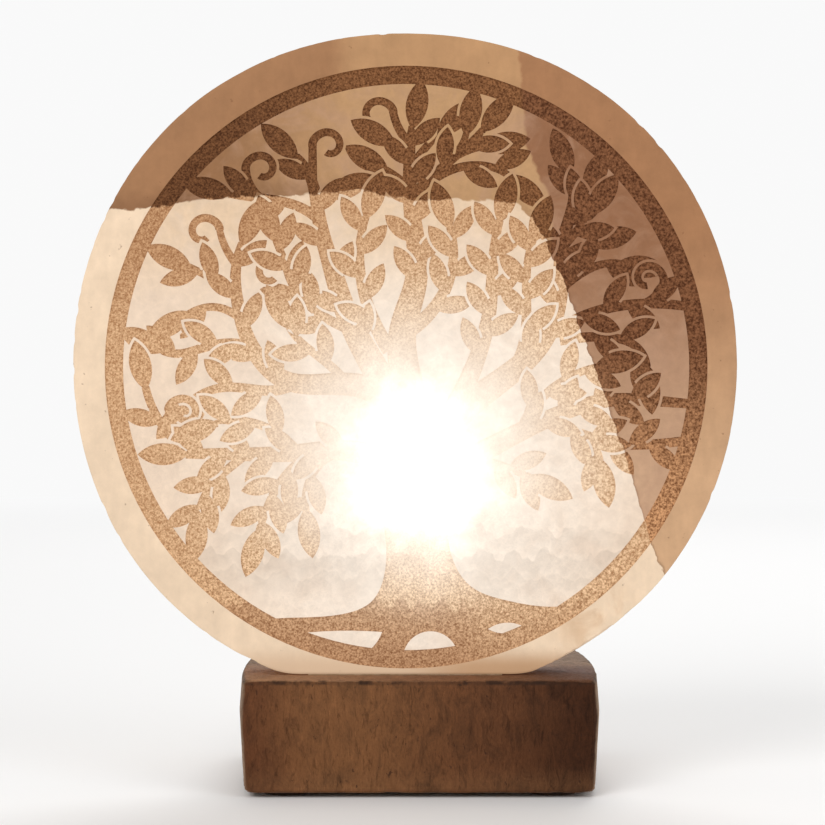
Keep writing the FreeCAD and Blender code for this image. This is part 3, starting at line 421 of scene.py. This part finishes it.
# %% [markdown]
# The model's own pieces stay as they are, so the disc is copied, and the copy takes its place.
# Only what lies inside both the copy and the drum stays. Sculpting the rim by hand would look as good,
# but a cut keeps the faces flat and the engraving sharp.

# %% Trim the disc
def copy_of(node_name, name):
    """Watertight copy of a model piece, without the shading that was stored with it."""
    mesh = nodes[node_name].data.copy()
    work = bmesh.new()
    work.from_mesh(mesh)
    bmesh.ops.remove_doubles(work, verts=work.verts, dist=1e-6)
    work.to_mesh(mesh)
    work.free()
    for attribute in [a for a in mesh.attributes if a.name == "custom_normal"]:
        mesh.attributes.remove(attribute)
    piece = bpy.data.objects.new(name, mesh)
    scene.collection.objects.link(piece)
    return piece


def apply_modifiers(piece):
    bpy.context.view_layer.update()
    view = bpy.context.evaluated_depsgraph_get()
    result = bpy.data.meshes.new_from_object(piece.evaluated_get(view))
    piece.modifiers.clear()
    piece.data = result


stone_disc = copy_of("selenite_disc", "stone_disc")
drum = bpy.data.objects.new("rough_drum", drum_mesh)
scene.collection.objects.link(drum)
trim = stone_disc.modifiers.new("trim", "BOOLEAN")
trim.operation = "INTERSECT"
trim.solver = "MANIFOLD"
trim.object = drum
apply_modifiers(stone_disc)
bpy.data.objects.remove(drum)
flat_facing = 0.99
for face in stone_disc.data.polygons:
    face.use_smooth = abs(face.normal.y) < flat_facing
stone_disc.data.set_sharp_from_angle(angle=math.radians(35))
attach(stone_disc, "lamp")
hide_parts("selenite_disc")
print("disc faces:", len(stone_disc.data.polygons))

# %% [markdown]
# The look of the disc comes from the light inside it. The layers of the crystal end at steps on the back,
# so the lower left is bright, the top is brown and the right is darker and redder.
# The light could be traced through the stone, but that is slow and noisy, and an export would lose it.
# It is painted instead, as painted light and shade: part of each colour goes into the stone's base colour,
# and part is light that it gives off.
# First comes a map of the layers, with edges that are more broken on the right.
# Points are in millimetres from the middle of the disc.

# %% Layers of the disc
stone = Finish("lit_selenite")
centre_mm = tuple(value * mm_per_metre for value in disc_centre)
stone.place = stone.vector("SUBTRACT", stone.place, centre_mm)
stone_x, stone_y, stone_z = stone.axes(stone.place)

low_edge_points = [
    (-100, 46), (-82, 46), (-66, 48), (-50, 50), (-30, 50.5), (-13, 52), (-8, 50.5),
    (3, 49), (20, 49), (33, 48), (38, 44), (42, 37), (46, 28), (53, 9), (60, -11),
    (66, -28), (71, -45), (75, -58), (81, -70), (100, -92),
]
right_edge_points = [(-100, 44), (48, 44), (56, 40), (66, 36), (93, 34), (100, 34)]
ragged = stone.ramp(stone.cloud(0.3), 0.3, 0.7, -0.5, 0.5)
more_broken = stone.ramp(stone_x, 30.0, 42.0, 1.0, 2.4)
above_low = stone.less(stone_z, stone.line(stone_x, low_edge_points))
above_low = stone.math("ADD", above_low, stone.times(ragged, more_broken))
bright_layer = stone.below(above_low, 0.0, blur=0.35)
past_right = stone.less(stone_x, stone.line(stone_z, right_edge_points))
past_right = stone.math("ADD", past_right, ragged)
right_layer = stone.ramp(past_right, -0.7, 0.7)
print("layers mapped with", len(low_edge_points) + len(right_edge_points), "points")

# %% [markdown]
# The paint also needs to know where the engraving is. It could be drawn a second time as a mask,
# but the cut is already in the mesh: every point at its depth behind the front face, inside the ring,
# belongs to it. The rim's side is told from the faces by the direction that it faces.

# %% Ring, rim and engraving of the disc
ring_middle = (0.3, 0, -1.1)
ring_inner_radius = 87.5
ring_outer_radius = 90.6
engraving_depth = 0.6
ring_reach = stone.reach(ring_middle)
at_back = stone.ramp(stone_y, -30.0, -18.0)
inside_ring = stone.math("MAXIMUM", stone.below(ring_reach, ring_inner_radius, blur=1.0), at_back)
outside_ring = stone.less(1.0, inside_ring)
on_side = stone.below(stone.math("ABSOLUTE", stone.axes(stone.normal)[1]), 0.5, blur=0.2)
below_front = stone.less(stone_y, disc_low.y * mm_per_metre)
off_floor = stone.math("ABSOLUTE", stone.less(below_front, engraving_depth))
cut_floor = stone.below(off_floor, 0.35, blur=0.15)
engraved = stone.times(cut_floor, stone.below(ring_reach, ring_outer_radius, blur=0.2))
print("engraving mapped", engraving_depth, "mm deep")

# %% [markdown]
# The bulb stands close behind the stone, so a white spot burns through it and falls off quickly.
# A bell curve of the distance gives that spot, and slow noise makes its edge waver,
# as the crystal bends the light.

# %% Light of the bulb in the disc
glare_middle = (4.8, 0, -31.8)
glare_width = 20.0
glare_power = 2.2
wash_middle = (4.0, 0, -25.0)
bulb_reach = stone.reach(glare_middle, stretch=(1.02, 0, 0.88))
glare_waver = stone.spread(stone.cloud(0.06, detail=5.0, rough=0.6), -5.5, 5.5)
glare_reach = stone.math("MAXIMUM", stone.math("ADD", bulb_reach, glare_waver), 0.0)
falling = stone.math("POWER", stone.math("DIVIDE", glare_reach, glare_width), glare_power)
hot_spot = stone.math("EXPONENT", stone.times(falling, -1.0))
near_bulb = stone.ramp(bulb_reach, 28.0, 85.0, 1.0, 0.0)
wash_reach = stone.reach(wash_middle, stretch=(0.75, 0, 0.9))
print("bulb's spot", glare_width, "mm wide")

# %% [markdown]
# Now the colours of the lit clear stone, laid on as washes of painted light, one tone for each layer.
# The bright layer is whiter near the bulb, where the painted light is strongest, and warmer high up,
# the top layer is duller to the left, and the right one is paler low down. Flat colours would look
# printed, so each wash runs into the next.
# A brown shade lies along the steps, where the edge of a layer blocks some light.

# %% Washes of the clear stone
high_up = stone.ramp(stone_z, 12.0, 46.0, 0.0, 0.6)
# Painted light: the bright layer is whiter near the bulb.
bright_inner = stone.mix(near_bulb, paint(235, 211, 187), paint(248, 233, 217))
bright_inner = stone.mix(high_up, bright_inner, paint(220, 187, 149))
bright_clear = stone.mix(inside_ring, paint(235, 209, 180), bright_inner)

to_middle = stone.ramp(stone_x, -62.0, -8.0)
rim_to_middle = stone.ramp(stone_x, -24.0, -14.0)
top_inner = stone.mix(to_middle, paint(148, 107, 74), paint(188, 147, 106))
top_rim = stone.mix(rim_to_middle, paint(164, 120, 85), paint(185, 142, 102))
top_clear = stone.mix(inside_ring, top_rim, top_inner)
edge_shade = stone.ramp(above_low, 0.0, 7.0, 0.4, 0.0)
edge_shade = stone.times(edge_shade, stone.ramp(stone_x, -40.0, 0.0, 1.0, 0.2))
top_clear = stone.mix(edge_shade, top_clear, paint(98, 65, 44))

to_low = stone.ramp(stone_z, 45.0, -45.0)
right_inner = stone.mix(to_low, paint(146, 102, 73), paint(198, 160, 129))
right_rim = stone.mix(to_low, paint(165, 119, 84), paint(203, 163, 126))
right_clear = stone.mix(inside_ring, right_rim, right_inner)
step_shade = stone.ramp(above_low, 0.0, 2.6, 0.45, 0.0)
step_shade = stone.times(step_shade, stone.ramp(stone_x, 32.0, 42.0))
dull_clear = stone.mix(step_shade, stone.mix(right_layer, top_clear, right_clear), paint(104, 68, 47))
clear_stone = stone.mix(bright_layer, dull_clear, bright_clear)
print("clear stone washed")

# %% [markdown]
# Selenite is never even, so clouds, hairline cracks and a faint lace come over the washes.
# Outside the ring the stone is more mottled and has dark specks, and the rim's side shows
# the layers of the crystal and the marks of the saw. Each is noise with its own size and stretch.

# %% Clouds, cracks and marks in the clear stone
mist = stone.cloud(0.07, detail=8.0, rough=0.62, bend=0.8)
misty = stone.times(stone.ramp(mist, 0.4, 0.68, 0.0, 0.55), inside_ring)
misty = stone.times(misty, stone.ramp(bulb_reach, 24.0, 60.0, 0.2, 1.0))
mist_tone = stone.mix(bright_layer, paint(182, 143, 116), paint(227, 204, 183))
clear_stone = stone.mix(misty, clear_stone, mist_tone)

fine_mist = stone.spread(stone.cloud(0.3, detail=6.0, rough=0.7), 0.92, 1.07)
hairlines = stone.ramp(stone.cracks(0.13), 0.0, 0.09, 1.03, 1.0)
rim_mottle = stone.spread(stone.cloud(0.1, detail=7.0, rough=0.68), 0.9, 1.1)
rim_fibres = stone.spread(stone.cloud(0.5, detail=5.0, stretch=(1, 1, 0.25)), 0.97, 1.03)
rim_marks = stone.times(rim_mottle, rim_fibres)
inner_marks = stone.times(fine_mist, hairlines)
clear_stone = stone.darken(clear_stone, stone.mix(inside_ring, rim_marks, inner_marks))
rim_specks = stone.ramp(stone.cloud(0.45, detail=2.0, rough=0.7), 0.7, 0.76, 0.0, 0.45)
clear_stone = stone.mix(stone.times(rim_specks, outside_ring), clear_stone, paint(120, 82, 56))

lace = stone.ramp(stone.cracks(0.3, bend=14.0), 0.0, 0.2, 1.035, 0.99)
lace_zone = stone.times(stone.ramp(stone.cloud(0.03), 0.4, 0.55), stone.ramp(stone_z, 15.0, -25.0))
lace_zone = stone.times(lace_zone, stone.times(bright_layer, inside_ring))
clear_stone = stone.darken(clear_stone, stone.mix(lace_zone, unchanged, lace))

layers = stone.cloud(0.9, detail=6.0, rough=0.7, stretch=(0.06, 1, 0.06), bend=0.3)
saw_marks = stone.cloud(0.8, detail=4.0, stretch=(1, 0.12, 1))
side_marks = stone.times(stone.spread(layers, 0.78, 1.12), stone.spread(saw_marks, 0.93, 1.05))
clear_stone = stone.darken(clear_stone, stone.mix(on_side, unchanged, side_marks))
print("clear stone marked")

# %% [markdown]
# Low in the disc the crystal grew in scalloped bands, like small waves one behind another.
# Each band is sharp at its crest and fades downwards. One noise gives all the crests,
# so they run side by side. A brown stain low on the right comes last, with painted shade at the foot, far
# from the bulb.

# %% Bands, stain and foot of the clear stone
scallops = stone.cloud(0.16, detail=2.0, stretch=(1, 0, 0.35))
band_height = 14.0
band_shades = {-50.0: 0.92, -57.0: 0.88, -63.0: 0.91}


def below_crest(level, height):
    """How far a point lies below a scalloped line that waves about a level."""
    crest = stone.math("MULTIPLY_ADD", scallops, height, level - height / 2)
    return stone.less(crest, stone_z)


for level, shade in band_shades.items():
    under = below_crest(level, band_height)
    band = stone.times(stone.ramp(under, -0.3, 0.5), stone.ramp(under, 2.0, 9.0, 1.0, 0.0))
    shaded = stone.darken(clear_stone, (shade, shade, shade, 1))
    clear_stone = stone.mix(stone.times(band, inside_ring), clear_stone, shaded)

stain_reach = stone.reach((57, 0, -77))
stained = stone.times(stone.ramp(stain_reach, 4.0, 17.0, 0.4, 0.0), stone.ramp(mist, 0.45, 0.62))
clear_stone = stone.mix(stained, clear_stone, paint(196, 148, 100))
# Painted shade: the clear stone is duller at the foot, far from the bulb.
foot_shade_tone = stone.mix(stone.ramp(stone_x, -5.0, 22.0), paint(222, 190, 158), paint(196, 154, 116))
clear_stone = stone.mix(stone.ramp(stone_z, -84.0, -91.0, 0.0, 0.9), clear_stone, foot_shade_tone)
print("bands:", len(band_shades))

# %% [markdown]
# The engraving is sand-blasted, so it scatters the light and looks darker than the clear stone round it.
# It has washes of its own, one for each layer, with painted light near the bulb. It darkens towards the
# foot, partly as painted shade far from the bulb and partly where a layer with a scalloped edge crosses
# the roots.

# %% Washes of the engraving
# Painted light: the engraving is paler near the bulb.
near_cut = stone.ramp(wash_reach, 34.0, 66.0, 1.0, 0.0)
bright_cut = stone.mix(near_cut, paint(201, 158, 117), paint(222, 187, 149))
to_left = stone.ramp(stone_x, -10.0, -50.0, 0.2, 0.75)
upper_left = stone.times(stone.ramp(stone_z, 5.0, 40.0), to_left)
bright_cut = stone.mix(upper_left, bright_cut, paint(172, 125, 86))
top_cut = stone.mix(to_middle, paint(96, 60, 35), paint(117, 76, 46))
right_cut = stone.mix(stone.ramp(stone_z, 10.0, -50.0), paint(108, 68, 43), paint(174, 125, 86))
cut_stone = stone.mix(bright_layer, stone.mix(right_layer, top_cut, right_cut), bright_cut)

root_level = -72.0
root_height = 16.0
# Painted shade: the engraving darkens towards the foot, far from the bulb.
low_cut_shade = stone.ramp(stone_z, -66.0, -92.0, 0.0, 0.45)
cut_stone = stone.mix(low_cut_shade, cut_stone, paint(160, 113, 78))
root_share = stone.ramp(stone_x, 14.0, 26.0, 0.4, 0.1)
root_layer = stone.times(stone.ramp(below_crest(root_level, root_height), -0.4, 0.8), root_share)
cut_stone = stone.mix(root_layer, cut_stone, paint(154, 106, 72))
print("engraving washed")

# %% [markdown]
# The blasted floor is grainy: pale where a grain catches the light, and browner where it doesn't.
# The speckle is coarser on the right, stronger in the dim layers and softer where the stone is bright.
# Colour does this better than a bump alone, because light from behind throws no shadow in the grain.

# %% Grain of the engraving
fine_grain = stone.cloud(1.9, detail=2.0, rough=0.7)
coarse_grain = stone.cloud(1.4, detail=2.0, rough=0.7)
grain = stone.step("Mix", right_layer, None, fine_grain, coarse_grain)
grain = stone.step("MapRange", grain, 0.34, 0.66, 0.0, 1.0)
dim_grain = stone.mix(grain, (0.44, 0.35, 0.28, 1), (1.72, 1.84, 1.95, 1))
soft_grain = stone.mix(grain, (0.66, 0.54, 0.44, 1), (1.38, 1.5, 1.64, 1))
at_foot = stone.ramp(stone_z, -48.0, -68.0, 0.0, 0.35)
soft_grain = stone.mix(at_foot, soft_grain, dim_grain)
cut_stone = stone.darken(cut_stone, stone.mix(bright_layer, dim_grain, soft_grain))
print("grain laid on")

# %% [markdown]
# Engraving and clear stone now come together, and the engraving fades where the bulb outshines it.
# A little under half of the painted colour, with its painted light and shade, goes into the stone's base
# colour, which the studio lights;
# the rest is given off as painted light, and the bulb's spot is added to that. Emission keeps its place in
# an exported model.

# %% Light and shader of the disc
# Painted light and shade: the lit look of the stone is split between base colour and given-off light.
base_colour_share = 0.45
glare_tone = paint(255, 248, 236)[:3]
fading = stone.times(engraved, stone.ramp(wash_reach, 16.0, 50.0, 0.1, 1.0))
painted_lit_colour = stone.mix(fading, clear_stone, cut_stone)
given_light = stone.scale(painted_lit_colour, 1 - base_colour_share)
given_light = stone.vector("ADD", given_light, stone.scale(glare_tone, hot_spot))
stone.set(Base_Color=stone.scale(painted_lit_colour, base_colour_share), Specular_IOR_Level=0.06)
stone.set(Emission_Color=given_light, Emission_Strength=1.0)
stone.set(Roughness=stone.spread(stone.cloud(0.5, detail=4.0), 0.42, 0.6))
pits = stone.times(engraved, fine_grain)
pits = stone.math("MULTIPLY_ADD", stone.times(side_marks, on_side), 0.8, pits)
relief = stone.math("MULTIPLY_ADD", stone.cloud(0.8, detail=5.0), 0.12, pits)
stone.bump(relief, 0.25, strength=0.4)
coat(stone_disc, stone)
print("disc painted with", len(stone.tree.nodes), "nodes")

# %% [markdown]
# The base is a sawn block of satin spar, a fibrous stone. Its corners are worn, and its fibres stand
# upright. The model's block is smooth, so it is remeshed into small even faces, and each point near
# the outside is pushed in a little by noise that is drawn out along the fibres, and more along the edges.

# %% A worn base block
base_low, base_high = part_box("base_block")
base_middle = (base_low + base_high) / 2
base_half = (base_high - base_low) / 2
spar_block = copy_of("base_block", "spar_block")
even = spar_block.modifiers.new("even_faces", "REMESH")
even.mode = "VOXEL"
even.voxel_size = 0.0008
apply_modifiers(spar_block)

skin_depth = 0.0045
fibre_depth = 0.00008
fibres_across = 700
fibres_along = 60
worn_width = 0.0022
worn_depth = 0.0010
worn_fineness = 260
pit_depth = 0.0003
pit_fineness = 900


def sides_of(point):
    """Distances of a point from the nearest side of the block along each axis."""
    return [base_half[axis] - abs(point[axis] - base_middle[axis]) for axis in range(3)]


def wear(point, normal):
    """How far a point of the block is worn in, in metres."""
    fibre_place = Vector((point.x * fibres_across, point.y * fibres_across, point.z * fibres_along))
    fibres = noise.noise(fibre_place)
    upright = 1 - abs(normal.z)
    edge = math.exp(-sorted(sides_of(point))[1] / worn_width)
    chips = max(0.0, noise.noise(point * worn_fineness)) * worn_depth
    chips += max(0.0, noise.noise(point * pit_fineness)) * pit_depth
    return upright * fibre_depth * (1 + fibres) + edge * chips


worn = 0
facings = [vertex.normal.copy() for vertex in spar_block.data.vertices]
for vertex, facing in zip(spar_block.data.vertices, facings):
    if min(sides_of(vertex.co)) < skin_depth:
        vertex.co -= facing * wear(vertex.co, facing)
        worn += 1
spar_block.data.shade_smooth()
spar_block.data.set_sharp_from_angle(angle=math.radians(40))
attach(spar_block, "lamp")
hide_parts("base_block")
print("base faces:", len(spar_block.data.polygons), "worn points:", worn)

# %% [markdown]
# The base is brown in front, with painted shade that darkens it towards the right, where less of the
# lamp's light reaches it, and it is a little paler along the foot.
# The ledge in front of the disc has painted light on the left, where the lit stone shines on it, and
# painted shade on the right, and the other sides are grey-brown.
# An image of stone would be quick, but noise has no seams and fits a block of any size.

# %% Tones of the base
spar = Finish("fibrous_spar")
spar_x, spar_y, spar_z = spar.axes(spar.place)
spar_facing = spar.axes(spar.normal)
on_front = spar.ramp(spar_facing[1], -0.3, -0.7)
on_top = spar.ramp(spar_facing[2], 0.6, 0.9)
patches = spar.cloud(0.035, detail=4.0, rough=0.6)
wavering_x = spar.math("MULTIPLY_ADD", patches, 16.0, spar.less(spar_x, 8.0))
# Painted shade: the front darkens towards the right, where less of the lamp's light falls.
front_tone_and_shade = spar.mix(spar.ramp(wavering_x, -48.0, -22.0), paint(92, 55, 33), paint(118, 78, 48))
front_tone_and_shade = spar.mix(spar.ramp(wavering_x, -16.0, 24.0), front_tone_and_shade, paint(98, 61, 37))
front_tone_and_shade = spar.mix(spar.ramp(wavering_x, 16.0, 58.0), front_tone_and_shade, paint(60, 33, 17))
other_tone = spar.mix(spar.ramp(patches, 0.35, 0.65), paint(150, 121, 95), paint(126, 99, 76))
tone = spar.mix(on_front, other_tone, front_tone_and_shade)
tone = spar.mix(spar.ramp(spar_z, 3.0, 11.0, 0.3, 0.0), tone, paint(124, 86, 57))

# Painted light on the left of the ledge, from the lit stone, and painted shade towards its right.
ledge_light_and_shade = spar.mix(spar.ramp(spar_x, -30.0, 15.0), paint(162, 120, 88), paint(134, 93, 65))
ledge_shade = spar.times(spar.ramp(spar_x, 15.0, 50.0, 0.0, 0.85), spar.ramp(spar_y, 10.0, -15.0))
ledge_light_and_shade = spar.mix(ledge_shade, ledge_light_and_shade, paint(92, 58, 40))
ledge_light_and_shade = spar.mix(spar.ramp(spar_y, -20.0, 5.0), ledge_light_and_shade, other_tone)
tone = spar.mix(on_top, tone, ledge_light_and_shade)
print("base toned")

# %% [markdown]
# The fibres of satin spar show as short upright dashes, fine threads and smoky patches.
# Stretching a noise upright gives each of them. A dark line runs along the top edge, and dirt sits in
# small pits.

# %% Fibres and dirt of the base
smoke = spar.cloud(0.17, detail=9.0, rough=0.75, stretch=(1, 1, 0.5), bend=0.9)
dashes = spar.cloud(0.75, detail=5.0, rough=0.68, stretch=(1, 1, 0.24), bend=0.9)
threads = spar.cloud(2.2, detail=5.0, rough=0.75, stretch=(1, 1, 0.45))
pale_fibres = spar.cloud(1.1, detail=3.0, stretch=(1, 1, 0.18), bend=0.6)
tone = spar.darken(tone, spar.spread(threads, 0.78, 1.2))
smoke_depth = spar.mix(on_front, (0.5, 0.5, 0.5, 1), spar.ramp(spar_x, -48.0, 0.0, 0.45, 0.75))
smoky = spar.times(spar.ramp(smoke, 0.42, 0.66), smoke_depth)
tone = spar.darken(tone, spar.mix(smoky, unchanged, (0.5, 0.53, 0.58, 1)))
dashed = spar.ramp(dashes, 0.5, 0.7, 0.0, 0.7)
tone = spar.darken(tone, spar.mix(dashed, unchanged, (0.4, 0.4, 0.4, 1)))
tone = spar.darken(tone, spar.ramp(pale_fibres, 0.55, 0.75, 1.0, 1.22))

# A darker band along the top edge, broken by noise.
dark_line_break = spar.ramp(spar.cloud(0.16, detail=5.0, rough=0.7), 0.42, 0.62)
below_top = spar.less(base_high.z * mm_per_metre, spar_z)
dark_top_line = spar.times(spar.ramp(below_top, 1.7, 0.9), spar.ramp(below_top, 0.05, 0.3, 0.3, 1.0))
dark_top_line = spar.times(dark_top_line, spar.math("MULTIPLY_ADD", dark_line_break, 0.65, 0.25))
tone = spar.mix(dark_top_line, tone, paint(44, 28, 19))
specks = spar.ramp(spar.cloud(0.7, detail=2.0, stretch=(1, 1, 0.5)), 0.68, 0.74, 0.0, 0.7)
tone = spar.mix(specks, tone, paint(46, 30, 21))
spar.set(Base_Color=tone, Specular_IOR_Level=0.08, Roughness=spar.spread(dashes, 0.5, 0.72))
spar.bump(spar.math("ADD", dashes, threads), 0.2, strength=0.4)
coat(spar_block, spar)
print("base painted with", len(spar.tree.nodes), "nodes")

# %% [markdown]
# The lampholder behind the disc is a small assembly of its own, with brass contacts, steel screws
# and a spring clip. Each metal gets one recipe, shared by the pieces that are made of it.
# Metals differ by colour, roughness and the direction of their fine scratches.

# %% Finishes of the metals
def metal(name, dull, bright, rough, fineness, brush):
    """Metal with fine scratches that change its colour and its gloss a little."""
    finish = Finish(name)
    scratches = finish.cloud(fineness, detail=4.0, rough=0.6, stretch=brush)
    tarnish = finish.cloud(0.25, detail=4.0)
    colour = finish.mix(finish.ramp(tarnish, 0.35, 0.7), paint(*bright), paint(*dull))
    finish.set(Base_Color=finish.darken(colour, finish.spread(scratches, 0.9, 1.05)), Metallic=1.0)
    finish.set(Roughness=finish.spread(scratches, rough - 0.08, rough + 0.1))
    finish.bump(scratches, 0.02, strength=0.4)
    return finish


along = (1, 1, 0.1)
around = (0.15, 0.15, 1)
cast = (1, 1, 1)
brass = metal("contact_brass", (168, 124, 60), (214, 172, 98), rough=0.32, fineness=3.0, brush=along)
nickel = metal("cap_nickel", (150, 142, 130), (196, 190, 180), rough=0.28, fineness=3.0, brush=around)
steel = metal("screw_steel", (128, 128, 130), (182, 182, 184), rough=0.36, fineness=4.0, brush=around)
spring_steel = metal("spring_steel", (96, 98, 104), (150, 152, 158), rough=0.3, fineness=2.5, brush=along)
solder = metal("solder", (134, 134, 136), (176, 176, 178), rough=0.45, fineness=1.5, brush=cast)
wire = metal("drawn_wire", (140, 120, 100), (190, 170, 148), rough=0.35, fineness=5.0, brush=along)
dress(brass, "screw_shell", "side_contact", "centre_contact")
dress(nickel, "bulb_cap")
dress(steel, "terminal_screws", "cord_grip_screws", "clip_screw", "clip_nut", "dowel_pins")
dress(spring_steel, "spring_clip")
dress(solder, "cap_contact")
dress(wire, "lead_wires", "filament_supports")
print("metals dressed")

# %% [markdown]
# The other small pieces are opaque: the moulded holder, its white ceramic carrier, black glass, cement,
# a rubber bush, felt feet and the bed of glue. Plain colours would look like toys, so each has
# a faint mottle and a fine grain, and they differ by their gloss.

# %% Finishes of the opaque small pieces
def moulded(name, light, dark, rough, fineness, depth, gloss=0.0):
    """Opaque stuff with a faint mottle and a fine grain."""
    finish = Finish(name)
    mottle = finish.cloud(0.3, detail=4.0)
    grain = finish.cloud(fineness, detail=3.0, rough=0.65)
    finish.set(Base_Color=finish.mix(finish.ramp(mottle, 0.3, 0.7), paint(*dark), paint(*light)))
    finish.set(Roughness=finish.spread(grain, rough - 0.06, rough + 0.08), Coat_Weight=gloss)
    finish.bump(grain, depth, strength=0.6)
    return finish


plastic = moulded("holder_plastic", (70, 68, 66), (62, 60, 58), rough=0.38, fineness=1.6, depth=0.02)
grip = moulded("grip_plastic", (90, 88, 85), (82, 80, 77), rough=0.5, fineness=1.6, depth=0.03)
ceramic = moulded(
    "carrier_ceramic", (240, 238, 231), (233, 230, 222), rough=0.25, fineness=0.8, depth=0.03, gloss=0.6
)
black_glass = moulded(
    "cap_black_glass", (26, 24, 26), (14, 13, 15), rough=0.12, fineness=0.8, depth=0.02, gloss=0.5
)
cement = moulded("cement", (206, 196, 176), (182, 170, 150), rough=0.85, fineness=2.2, depth=0.12)
rubber = moulded("bush_rubber", (44, 42, 41), (30, 29, 29), rough=0.62, fineness=2.0, depth=0.05)
glue = moulded(
    "clear_glue", (214, 192, 160), (192, 166, 130), rough=0.25, fineness=0.6, depth=0.05, gloss=0.3
)
felt = moulded("felt", (70, 52, 40), (48, 35, 27), rough=0.95, fineness=3.5, depth=0.5)
dress(plastic, "holder_cap", "holder_skirt")
dress(grip, "cord_grip")
dress(ceramic, "contact_carrier")
dress(black_glass, "cap_insulator")
dress(cement, "cap_cement")
dress(rubber, "cord_bush")
dress(glue, "glue_bed")
dress(felt, "felt_feet")
print("opaque small pieces dressed")

# %% [markdown]
# The bulb is clear glass round a glowing filament. Glass needs no colour, only its bend of light
# and its polish, with the faint waves of blown glass.

# %% Glass of the bulb
def clear_glass(name, wave_depth_mm):
    finish = Finish(name)
    waves = finish.cloud(0.12, detail=2.0)
    tint = finish.mix(finish.ramp(waves, 0.3, 0.7), paint(250, 252, 250), paint(255, 255, 253))
    finish.set(Base_Color=tint, Roughness=finish.spread(waves, 0.0, 0.03))
    finish.set(IOR=1.47, Transmission_Weight=1.0)
    finish.bump(waves, wave_depth_mm, strength=0.3)
    return finish


dress(clear_glass("bulb_clear_glass", 0.2), "bulb_glass")
dress(clear_glass("stem_glass", 0.1), "bulb_stem")
print("glass dressed")

# %% [markdown]
# The filament gives off warm light, whiter in the middle of its arch, where it is hottest,
# than at its clamped ends. A lamp object could stand in for it, but light from the wire itself
# moves with the bulb when the bulb is screwed out.

# %% Filament of the bulb
filament_low, filament_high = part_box("filament")
half_in_mm = mm_per_metre / 2
filament_middle = (filament_low + filament_high) * half_in_mm
filament_half = (filament_high.x - filament_low.x) * half_in_mm
tungsten = Finish("glowing_tungsten")
from_middle = tungsten.less(tungsten.axes(tungsten.place)[0], filament_middle.x)
from_middle = tungsten.math("ABSOLUTE", from_middle)
coil = tungsten.spread(tungsten.cloud(4.0, detail=1.0), 0.75, 1.1)
heat = tungsten.ramp(from_middle, filament_half * 0.7, filament_half, 1.0, 0.25)
glow = tungsten.mix(heat, paint(255, 150, 60), paint(255, 222, 160))
tungsten.set(Base_Color=paint(90, 84, 80), Metallic=1.0, Roughness=coil)
tungsten.set(Emission_Color=tungsten.darken(glow, coil), Emission_Strength=25.0)
dress(tungsten, "filament")
print("filament dressed")
